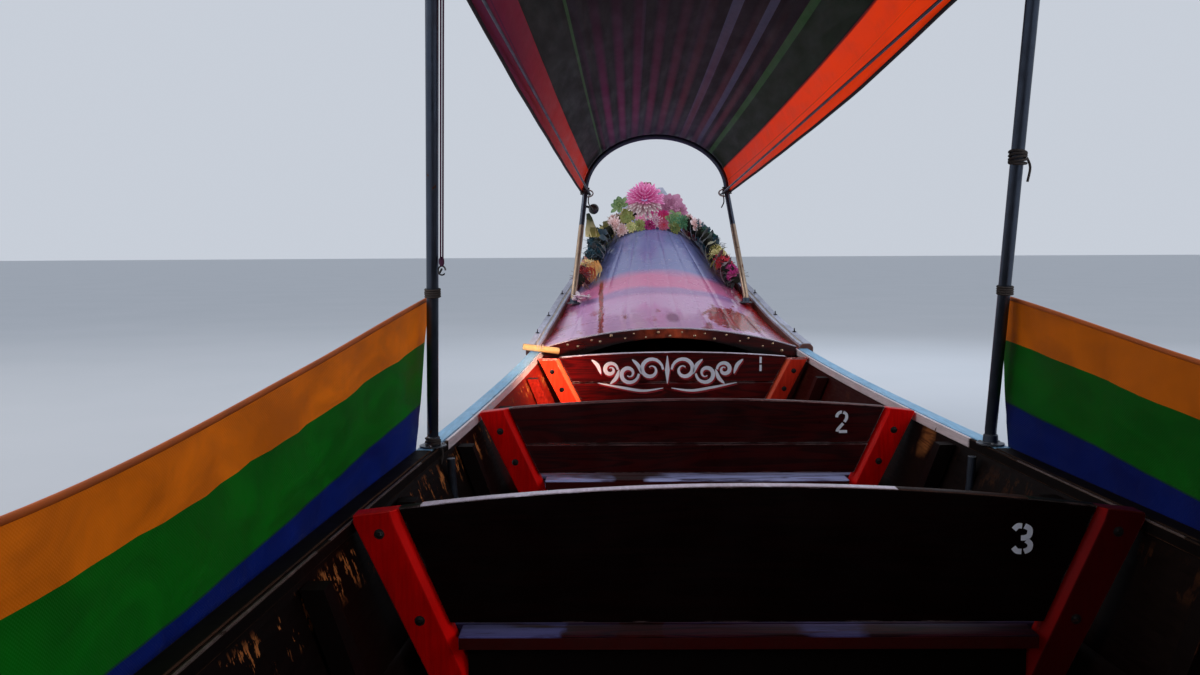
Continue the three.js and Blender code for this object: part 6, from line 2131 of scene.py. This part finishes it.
def cradle():
    frame_parts, back, front = Parts(MM), -330, 760
    for side in SIDES.values():
        web, lip = side * 190, side * 150
        for x0, x1, z0, z1 in ((web, side * 183.5, -30, 30), (web, lip, 23.5, 30), (web, lip, -30, -23.5)):
            frame_parts.box((x0, back, z0), (x1, front, z1))
        for y in (-240, -100, 80, 400, 520, 660):
            frame_parts.box((web, y, -24), (lip, y + 6, 24))
        frame_parts.turned([(40, 0), (40, 8), (36, 10)], (side * 149.5, 0, 0), (side, 0, 0), 28)
    frame_parts.prism([(x, -342, 82.5 + z) for x, z in rounded_square(190, 112.5, 0.25, 40)], (0, 20, 0))
    frame_parts.box((-190, 710, -30), (190, 760, 0))
    on_engine(frame_parts, "cradle_frame", steel_paint, "painted_steel", "engine_cradle", soft=2)
    pin = Parts(MM).turned([(16, -160), (18, -158), (18, 158), (16, 160)], (0, 0, 0), ACROSS, 28)
    for side in SIDES.values():
        pin.turned([(31, 0), (31, 3), (29, 4)], (side * 124.5, 0, 0), (side, 0, 0), 28)
    on_engine(pin, "cradle_pin", bright_steel, "painted_steel")
    tiller = Parts(MM)
    for side in SIDES.values():
        tiller.pipe([(side * 170, 752, 0), (side * 170, 800, 0), (side * 120, 850, -10),
            (side * 60, 910, -22), (side * 18, 950, -30)], 5, 13.8, 16)
        tiller.turned([(21, 0), (21, 6), (16, 10)], (side * 170, 759.5, 0), FORE, 20)
    tiller.pipe([(0, 930, -28), (0, 985, -38), (0, 1090, -75), (0, 1240, -142), (0, 1392, -213)], 6, 16.8, 20)
    tiller.tube([(0, 1372, -204), (0, 1400, -214)], 21, 20)
    tiller.turned([(15.8, -128), (15.8, 128)], (0, 1392, -213), ACROSS, 20)
    tiller.box((-30, 915, -36), (30, 945, -20))
    on_engine(tiller, "tiller_pipes", steel_paint, "painted_steel", soft=1.5)
    grips = Parts(MM)
    for side in SIDES.values():
        profile = [(16.2, 0), (19, 1)]
        for k in range(9):
            at = 6 + 9 * k
            profile += [(19.3, at), (19.3, at + 5), (18, at + 6), (18, at + 8)]
        profile += [(19.3, 87.2), (17.5, 88.5)]
        grips.turned(profile, (side * 42.5, 1392, -213), (side, 0, 0), 24)
    on_engine(grips, "tiller_grips", rubber, "painted_steel")
    lever = Parts(MM).pipe([(30, 1374, -190), (62, 1352, -176), (104, 1350, -178)], 5, 4.2, 10)
    lever.turned([(10, 0), (10, 12), (8, 14)], (26, 1380, -196), (0, -0.4, 1), 16)
    lever.ball((106, 1350, -178), 7.5, 14)
    on_engine(lever, "throttle_lever", bright_steel, "painted_steel")
    bolts = Parts(MM)
    for side in SIDES.values():
        for x, z in ((160, 170), (160, 52), (135, -6)):
            bolts.bolt((side * x, -342.5, z), AFT, 8.5, 8)
        for y in (225, 595):
            for shift in (-20, 20):
                bolts.bolt((side * 172, y + shift, 50), UP, 8.5, 10)
    on_engine(bolts, "cradle_bolts", bolt_dark, "painted_steel")


def engine_casting():
    body = Parts(MM).box((-138, 120, 42), (138, 705, 395))
    for side in SIDES.values():
        for y in (170, 315, 460, 605):
            body.prism([(side * 136, y, 75), (side * 144.5, y, 80), (side * 144.5, y, 355),
                (side * 136, y, 365)], (0, 14, 0))
            if y < 600:
                body.turned([(30, 0), (30, 3.5), (26, 4.5), (24, 2)], (side * 137.5, y + 78, 215),
                    (side, 0, 0), 24)
        body.box((side * 137, 135, 52), (side * 150, 690, 66))
    sump = [(-112, 180), (112, 180), (112, 645), (-112, 645)]
    low = [(x * 0.82, 412.5 + (y - 412.5) * 0.9) for x, y in sump]
    body.loft([[(x, y, -62) for x, y in low], [(x, y, -20) for x, y in sump], [(x, y, 40) for x, y in sump]])
    body.box((-126, 165, 36), (126, 660, 44.5))
    for y in (190, 560):
        for side in SIDES.values():
            body.box((side * 126, y, 30.3), (side * 190, y + 70, 50))
            for shift in (4, 58):
                body.prism([(side * 137, y + shift, 49), (side * 186, y + shift, 49),
                    (side * 137, y + shift, 100)], (0, 8, 0))
    bell = [(60, 0), (72, 6), (120, 12), (143, 24), (148, 30), (148, 38)]
    body.turned([(r, -h) for r, h in bell], (0, 130, 135), FORE, 40)
    body.turned([(148, -38), (148, 0)], (0, 130, 135), FORE, 40)
    body.box((-105, 140, 391.5), (105, 690, 473))
    for k in range(9):
        y = 165 + 60 * k
        body.box((-108, y, 402), (108, y + 8, 452))
    on_engine(body, "engine_casting", engine_paint, "cast_iron", "engine_block", soft=4, segments=3)

    cover = Parts(MM)
    rings = []
    for y, inset in ((160, 12), (166, 4), (180, 0), (650, 0), (664, 4), (670, 12)):
        arch = [(80, 473.5), (80, 484), (72 - inset, 488), (68 - inset, 520), (52 - inset, 538.5 - inset)]
        rings.append([(x, y, z) for x, z in arch] + [(-x, y, z) for x, z in reversed(arch)])
    cover.loft(rings)
    for k in range(7):
        y = 205 + 68 * k
        cover.prism([(-46, y, 537.5), (46, y, 537.5), (44, y, 540.8), (-44, y, 540.8)], (0, 16, 0))
    on_engine(cover, "rocker_cover", steel_paint, "cast_iron", soft=3, segments=3)

    steel = Parts(MM)
    steel.turned([(24, 0), (24, 12), (21, 15), (10, 16)], (0, 235, 538.5), UP, 24)
    for k in range(4):
        y = 215 + 125 * k
        steel.turned([(13, 0), (13, 10), (9, 12), (9, 34), (6.5, 36), (6.5, 46)], (92, y, 473), (0.25, 0, 1),
            16)
        steel.pipe([(103.5, y, 517), (109, y + 6, 528), (120, y + 24, 520), (128, y + 40, 480),
            (126, y + 52, 462)], 4, 3.2, 8)
        steel.bolt((-92, y - 30, 473), UP, 9, 9)
        steel.bolt((-92, y + 30, 473), UP, 9, 9)
        steel.bolt((70, y + 45, 484), UP, 5, 6)
        steel.bolt((-70, y + 45, 484), UP, 5, 6)
    steel.tube([(128, 200, 460), (128, 660, 460)], 6, 12)
    steel.turned([(13, 0), (13, 4), (10, 6), (10, 10)], (0, 550, -60), (0, 0, -1), 6)
    for y in (190, 270, 350, 430, 510, 590, 635):
        for side in SIDES.values():
            steel.bolt((side * 119, y, 36.5), (0, 0, -1), 5.5, 5)
    bolt_circle(steel, (0, 92.5, 135), AFT, 132, 10, 7.5, 7, 0.3)
    for x in (-120, 120):
        for z in (75, 200, 330):
            steel.bolt((x, 704.5, z), FORE, 7.5, 6)
    on_engine(steel, "engine_fittings", bright_steel, "cast_iron")

    wheels = Parts(MM)
    for centre, radius, back, front in (((0, 110), 82, 700, 752), ((-20, 290), 58, 700, 748)):
        groove = front - 18
        profile = [(radius * 0.55, back), (radius * 0.55, front - 36), (radius - 3, front - 34),
            (radius, front - 32), (radius - 2, groove - 8), (radius - 11, groove), (radius - 2, groove + 8),
            (radius, front - 3), (radius - 3, front - 1), (radius * 0.78, front - 1),
            (radius * 0.7, front - 10), (radius * 0.36, front - 10), (radius * 0.32, front)]
        wheels.turned(profile, (centre[0], 0, centre[1]), FORE, 48)
        wheels.bolt((centre[0], front - 1, centre[1]), FORE, radius * 0.14, 4)
    profile = [(30, 520), (50, 524), (56, 532), (56, 575), (54.5, 577), (54.5, 583), (56, 585), (56, 640),
        (54.5, 642), (54.5, 648), (56, 650), (56, 690), (50, 702), (22, 704), (22, 712), (44, 714), (46, 716),
        (46, 722), (38, 729), (46, 734.5), (44, 737.5), (14, 737.8)]
    wheels.turned(profile, (182, 0, 250), FORE, 40)
    wheels.box((134, 560, 240), (190, 600, 262))
    wheels.tube([(100, 706, 335), (150, 708, 322), (186, 708, 298)], 6, 8)
    for k in range(10):
        a = 2 * pi * k / 10
        wheels.box((182 + 34 * cos(a) - 3, 700, 250 + 34 * sin(a) - 3),
            (182 + 34 * cos(a) + 3, 705.5, 250 + 34 * sin(a) + 3))
    on_engine(wheels, "engine_pulleys", bright_steel, "cast_iron")
    coupling = Parts(MM).turned([(30, -321), (50, -319), (52, -316), (52, -296), (34, -290), (34, -130),
        (50, -124), (52, -120), (52, -96), (36, -90), (36, 60), (48, 66), (48, 94)], (0, 0, 110), FORE, 36)
    bolt_circle(coupling, (0, -296.5, 110), FORE, 43, 6, 5, 6)
    bolt_circle(coupling, (0, -123.5, 110), AFT, 43, 6, 5, 6)
    on_engine(coupling, "shaft_coupling", steel_paint, "cast_iron")
    fan_belt()


def fan_belt():
    """Belt round the crank, water pump and alternator wheels."""
    wheels = [((0, 110), 74), ((182, 250), 40), ((-20, 290), 50)]
    hull = []
    for (x, z), r in wheels:
        hull += [(x + r * cos(2 * pi * k / 48), z + r * sin(2 * pi * k / 48)) for k in range(48)]
    hull.sort()

    def half(points):
        chain = []
        for p in points:
            while len(chain) > 1 and ((chain[-1][0] - chain[-2][0]) * (p[1] - chain[-2][1])
                    - (chain[-1][1] - chain[-2][1]) * (p[0] - chain[-2][0])) <= 0:
                chain.pop()
            chain.append(p)
        return chain[:-1]

    loop = half(hull) + half(hull[::-1])
    rings = []
    count = len(loop)
    for k in range(count):
        (ax, az), (bx, bz) = loop[k - 1], loop[(k + 1) % count]
        along = Vector((bx - ax, bz - az)).normalized()
        out = Vector((along.y, -along.x))
        x, z = loop[k]
        rings.append([(x + out.x * o, 731.5 + y, z + out.y * o) for y, o in ((-3.5, 0), (3.5, 0), (5.5, 8),
            (-5.5, 8))])
    rings.append(rings[0])
    on_engine(Parts(MM).loft(rings, closed=False), "fan_belt", rubber, "cast_iron")


EXHAUST_PORTS = (230, 360, 490, 620)


def exhaust():
    pipes = Parts(MM).turned([(26, 170), (30, 174), (30, 656), (26, 660)], (-150, 0, 435), FORE, 28)
    for y in EXHAUST_PORTS:
        pipes.pipe([(-105.5, y, 433), (-125, y, 433), (-150, y + 4, 435)], 4, 20, 20)
        pipes.box((-112.5, y - 26, 411), (-105.5, y + 26, 455))
    route = smooth_path([(-150, 640, 435), (-185, 640, 455), (-212, 633, 485), (-222, 620, 530),
        (-225, 612, 575), (-225, 606, 640)], 6)
    pipes.tube(route, 24.5, 24)
    on_engine(pipes, "exhaust_manifold", exhaust_rust, "rusty_steel", "exhaust", soft=2)
    can = Parts(MM).turned([(26, 595), (40, 597), (52, 603), (58, 613), (58, 640), (56.2, 643), (56.2, 649),
        (58, 652), (58, 758), (56.2, 761), (56.2, 767), (58, 770), (58, 797), (52, 807), (40, 813),
        (26, 815)], (-225, 603, 0), UP, 40)
    can.prism([(-283.5, 598, 615), (-282, 608, 615), (-282, 608, 795), (-283.5, 598, 795)], (4, 0, 0))
    on_engine(can, "silencer", exhaust_rust, "rusty_steel")
    tip = Parts(MM).turned([(24.5, 811), (24.5, 874.5), (21.5, 874.5), (21.5, 830)], (-225, 597, 0), UP, 32)
    on_engine(tip, "exhaust_tip", exhaust_rust, "rusty_steel")
    clamp = Parts(MM).turned([(28.5, -8), (28.5, 8)], (-222.5, 617, 545), (-0.06, -0.16, 1), 24)
    clamp.bolt((-251.5, 613, 545), (-1, 0, 0), 6, 10)
    for y in EXHAUST_PORTS:
        for shift in (-20, 20):
            clamp.bolt((-112.5, y + shift, 447 if shift < 0 else 418), (-1, 0, 0), 5.5, 6)
    on_engine(clamp, "exhaust_clamp", bright_steel, "rusty_steel")


def air_cleaner():
    drum = Parts(MM).turned([(70, 491), (92, 493), (98, 500), (98, 528), (95.5, 532), (95.5, 538), (98, 542),
        (98, 580), (99, 583), (99, 588), (94, 595), (70, 598.5), (66, 596.5), (40, 596.5), (36, 598.5),
        (16, 599.5)], (215, 270, 0), UP, 56)
    drum.box((105.5, 180, 411), (150, 620, 451))
    for y in (215, 340, 465, 590):
        drum.turned([(24, 0), (24, 14), (20, 17)], (105.5, y, 431), ACROSS, 24)
    on_engine(drum, "air_cleaner_drum", steel_paint, "painted_steel", "air_cleaner", soft=3, segments=3)
    hose = smooth_path([(140, 300, 432), (164, 296, 440), (186, 289, 456), (206, 280, 478), (213, 274, 505)],
        6)
    on_engine(Parts(MM).tube(hose, [26.2 + 1.6 * sin(1.9 * k) for k in range(len(hose))], 24), "air_hose",
        rubber, "painted_steel")
    wing = Parts(MM).turned([(8, 0), (8, 7), (4, 9)], (215, 270, 598.5), UP, 14)
    for side in SIDES.values():
        wing.pipe([(215, 270, 602), (215 + side * 12, 270, 606), (215 + side * 18, 270, 604)], 4, [3] * 9, 8)
        wing.tube([(215, 270 + side * 98.5, z) for z in (545, 562, 585)], 3.5, 8)
    on_engine(wing, "air_cleaner_clips", bright_steel, "painted_steel")


def tail():
    tube = Parts(MM).turned([(38, -4199.5), (38, -360)], (0, 0, SHAFT_Z), FORE, 32)
    tube.turned([(45, -430), (60, -364.5), (80, -364), (82, -362), (82, -344.5), (80, -342.4)],
        (0, 0, SHAFT_Z), FORE, 44)
    for y in (-1100, -2000, -2900, -3700):
        tube.turned([(38, -12), (40.5, -8), (40.5, 8), (38, 12)], (0, y, SHAFT_Z), FORE, 32)
    on_engine(tube, "tail_pipe", steel_paint, "painted_steel", "tail_tube")
    bearing = Parts(MM).turned([(44, -4200), (48.5, -4198), (50, -4194), (50, -4150), (47.5, -4147),
        (47.5, -4141), (50, -4138), (50, -4092), (46, -4084), (38, -4080)], (0, 0, SHAFT_Z), FORE, 40)
    for a in (0.9, 2.2):
        bearing.turned([(5, 0), (5, 4), (3, 6), (3.6, 9)], (49 * cos(a), -4115, SHAFT_Z + 49 * sin(a)),
            (cos(a), 0, sin(a)), 10)
    on_engine(bearing, "tail_bearing", propeller_bronze, "painted_steel")
    skeg = [(-3780, 110), (-3840, 72), (-3900, 40), (-3990, -26), (-4080, -90), (-4130, -114), (-4180, -132),
        (-4250, -139), (-4320, -142), (-4320, -114), (-4250, -106), (-4200, -96), (-4180, -84), (-4165, -50),
        (-4165, 50), (-4165, 110)]
    fin = Parts(MM).prism([(-5, y, z) for y, z in skeg], (10, 0, 0))
    on_engine(fin, "tail_skeg", steel_paint, "painted_steel", soft=3.5, segments=3, angle=30)
    stay = Parts(MM).tube([(0, -352, 180), (0, -900, 185.5), (0, -1500, 188), (0, -2200, 168),
        (0, -3000, 140)], 10.8, 14)
    stay.turned([(12, -100), (16, -90), (16, 90), (12, 100)], (0, -1500, 187.5), FORE, 6)
    for y in (-1100, -2000, -2900):
        top = 182 if y > -1600 else lerp(188, 140, (-1500 - y) / 1500)
        stay.prism([(-3, y - 20, 144), (-3, y + 20, 144), (-3, y + 12, top), (-3, y - 12, top)], (6, 0, 0))
    on_engine(stay, "tail_stay", steel_paint, "painted_steel", soft=1)
    bolts = bolt_circle(Parts(MM), (0, -364.5, SHAFT_Z), AFT, 70, 6, 7.5, 7, 0.5)
    on_engine(bolts, "tail_flange_bolts", bolt_dark, "painted_steel")


def propeller():
    middle = Vector((0, -4262, SHAFT_Z))
    hub = [(30, 61.4), (42.5, 60), (44, 56), (43.5, 30), (42, 0), (39, -24), (36, -40), (27, -58), (16, -70),
        (6, -77.2)]
    parts = Parts(MM).turned(hub, middle, FORE, 40)
    for turn in (0, pi):
        rings = []
        for i in range(25):
            t = i / 24
            r = lerp(20, 173.5, t)
            chord = lerp(34, 88, sin(pi * min(1, 0.15 + 0.72 * t)))
            chord *= sqrt(max(0.03, 1 - max(0, (t - 0.8) / 0.2) ** 2.2))
            pitch, thick = radians(lerp(62, 24, t)), lerp(7, 1.8, t)
            ring = []
            for k in range(20):
                a = 2 * pi * k / 20
                across, up = chord * cos(a), thick * sin(a) * (1 - 0.35 * cos(a)) * 0.75 + 3 * sin(a) ** 2
                u, v = across * cos(pitch) - up * sin(pitch), across * sin(pitch) + up * cos(pitch)
                point = Vector((u, -v, r))
                ring.append(Matrix.Rotation(turn, 3, "Y") @ point + middle)
            rings.append(ring)
        parts.loft(rings)
    parts.make("propeller_casting", propeller_bronze, "bronze", placed=ENGINE, body="propeller",
        solid="propeller", sharp_angle=50)


stern_boards()
driver_seat()
fuel_tank()
turret()
cradle()
engine_casting()
exhaust()
air_cleaner()
tail()
propeller()


# Floor and light

def water_outline():
    points = []
    for y in spread(-6.291, 5.05, 0.1):
        if under_water(y):
            points.append((width_at(max(-6.25, y), 0, inside=False) + 0.001, y))
    return points


def under_water(y):
    return side_curves(max(-6.25, y))[4] < -0.004


def floor_with_opening():
    """Plain floor at the waterline, open where the hull passes through it."""
    right = water_outline()
    last = right[-1][1]
    right.append((0.055, last + 0.03))
    loop = right + [(-x, y) for x, y in reversed(right)]
    far = 400
    points, faces = [(x, y, 0) for x, y in loop], []
    count = len(loop)
    for x, y in loop:
        a = atan2(y + 0.6, x)
        points.append((far * cos(a), far * sin(a), 0))
    for i in range(count):
        j = (i + 1) % count
        faces.append((i, j, count + j, count + i))
    mesh = bpy.data.meshes.new("floor")
    mesh.from_pydata(points, [], faces)
    mesh.materials.append(floor_paint())
    obj = bpy.data.objects.new("floor", mesh)
    bpy.context.scene.collection.objects.link(obj)


def floor_paint():
    f = Finish("floor_paint", roughness=0.6)
    mottled = f.mix(f.between(f.noise(f.place(), 0.6, 3), 0.3, 0.7), tone(182, 187, 193), tone(187, 191, 197))
    return f.feed(Base_Color=mottled)


def area_light(name, place, aim, size, power, shade, spread_angle=180):
    light = bpy.data.lights.new(name, "AREA")
    light.shape, light.size, light.size_y = "RECTANGLE", size[0], size[1]
    light.energy, light.color, light.spread = power, shade, radians(spread_angle)
    obj = bpy.data.objects.new(name, light)
    obj.location = place
    obj.rotation_euler = (Vector(aim) - Vector(place)).to_track_quat("-Z", "Y").to_euler()
    obj.visible_glossy = name not in ("bow_light", "evening_light")
    obj.visible_camera = False
    bpy.context.scene.collection.objects.link(obj)


def set_light():
    world = bpy.data.worlds.new("studio")
    world.use_nodes = True
    world.node_tree.nodes["Background"].inputs["Color"].default_value = (0.8, 0.86, 0.96, 1)
    world.node_tree.nodes["Background"].inputs["Strength"].default_value = 0.72
    bpy.context.scene.world = world
    bpy.context.scene.view_settings.view_transform = "Standard"
    area_light("bow_light", (2.6, 9.5, 4.6), (0, 4.8, 0.8), (3, 2), 150, (0.84, 0.9, 1))
    area_light("port_light", (-8.5, 3, 6), (0, 2, 0.4), (6, 5), 300, (1, 0.9, 0.8))
    area_light("starboard_light", (8.5, -3, 7), (0, -1, 0.4), (7, 6), 300, (1, 0.96, 0.92))
    area_light("stern_light", (-3.5, -13, 7), (0, -5.5, 0.6), (7, 5), 360, (0.96, 0.97, 1))
    area_light("evening_light", (0.3, 1.95, 1.16), (-0.49, 3.95, 0.52), (0.16, 0.16), 1.5, (1, 0.56, 0.34),
        14)


floor_with_opening()
set_light()
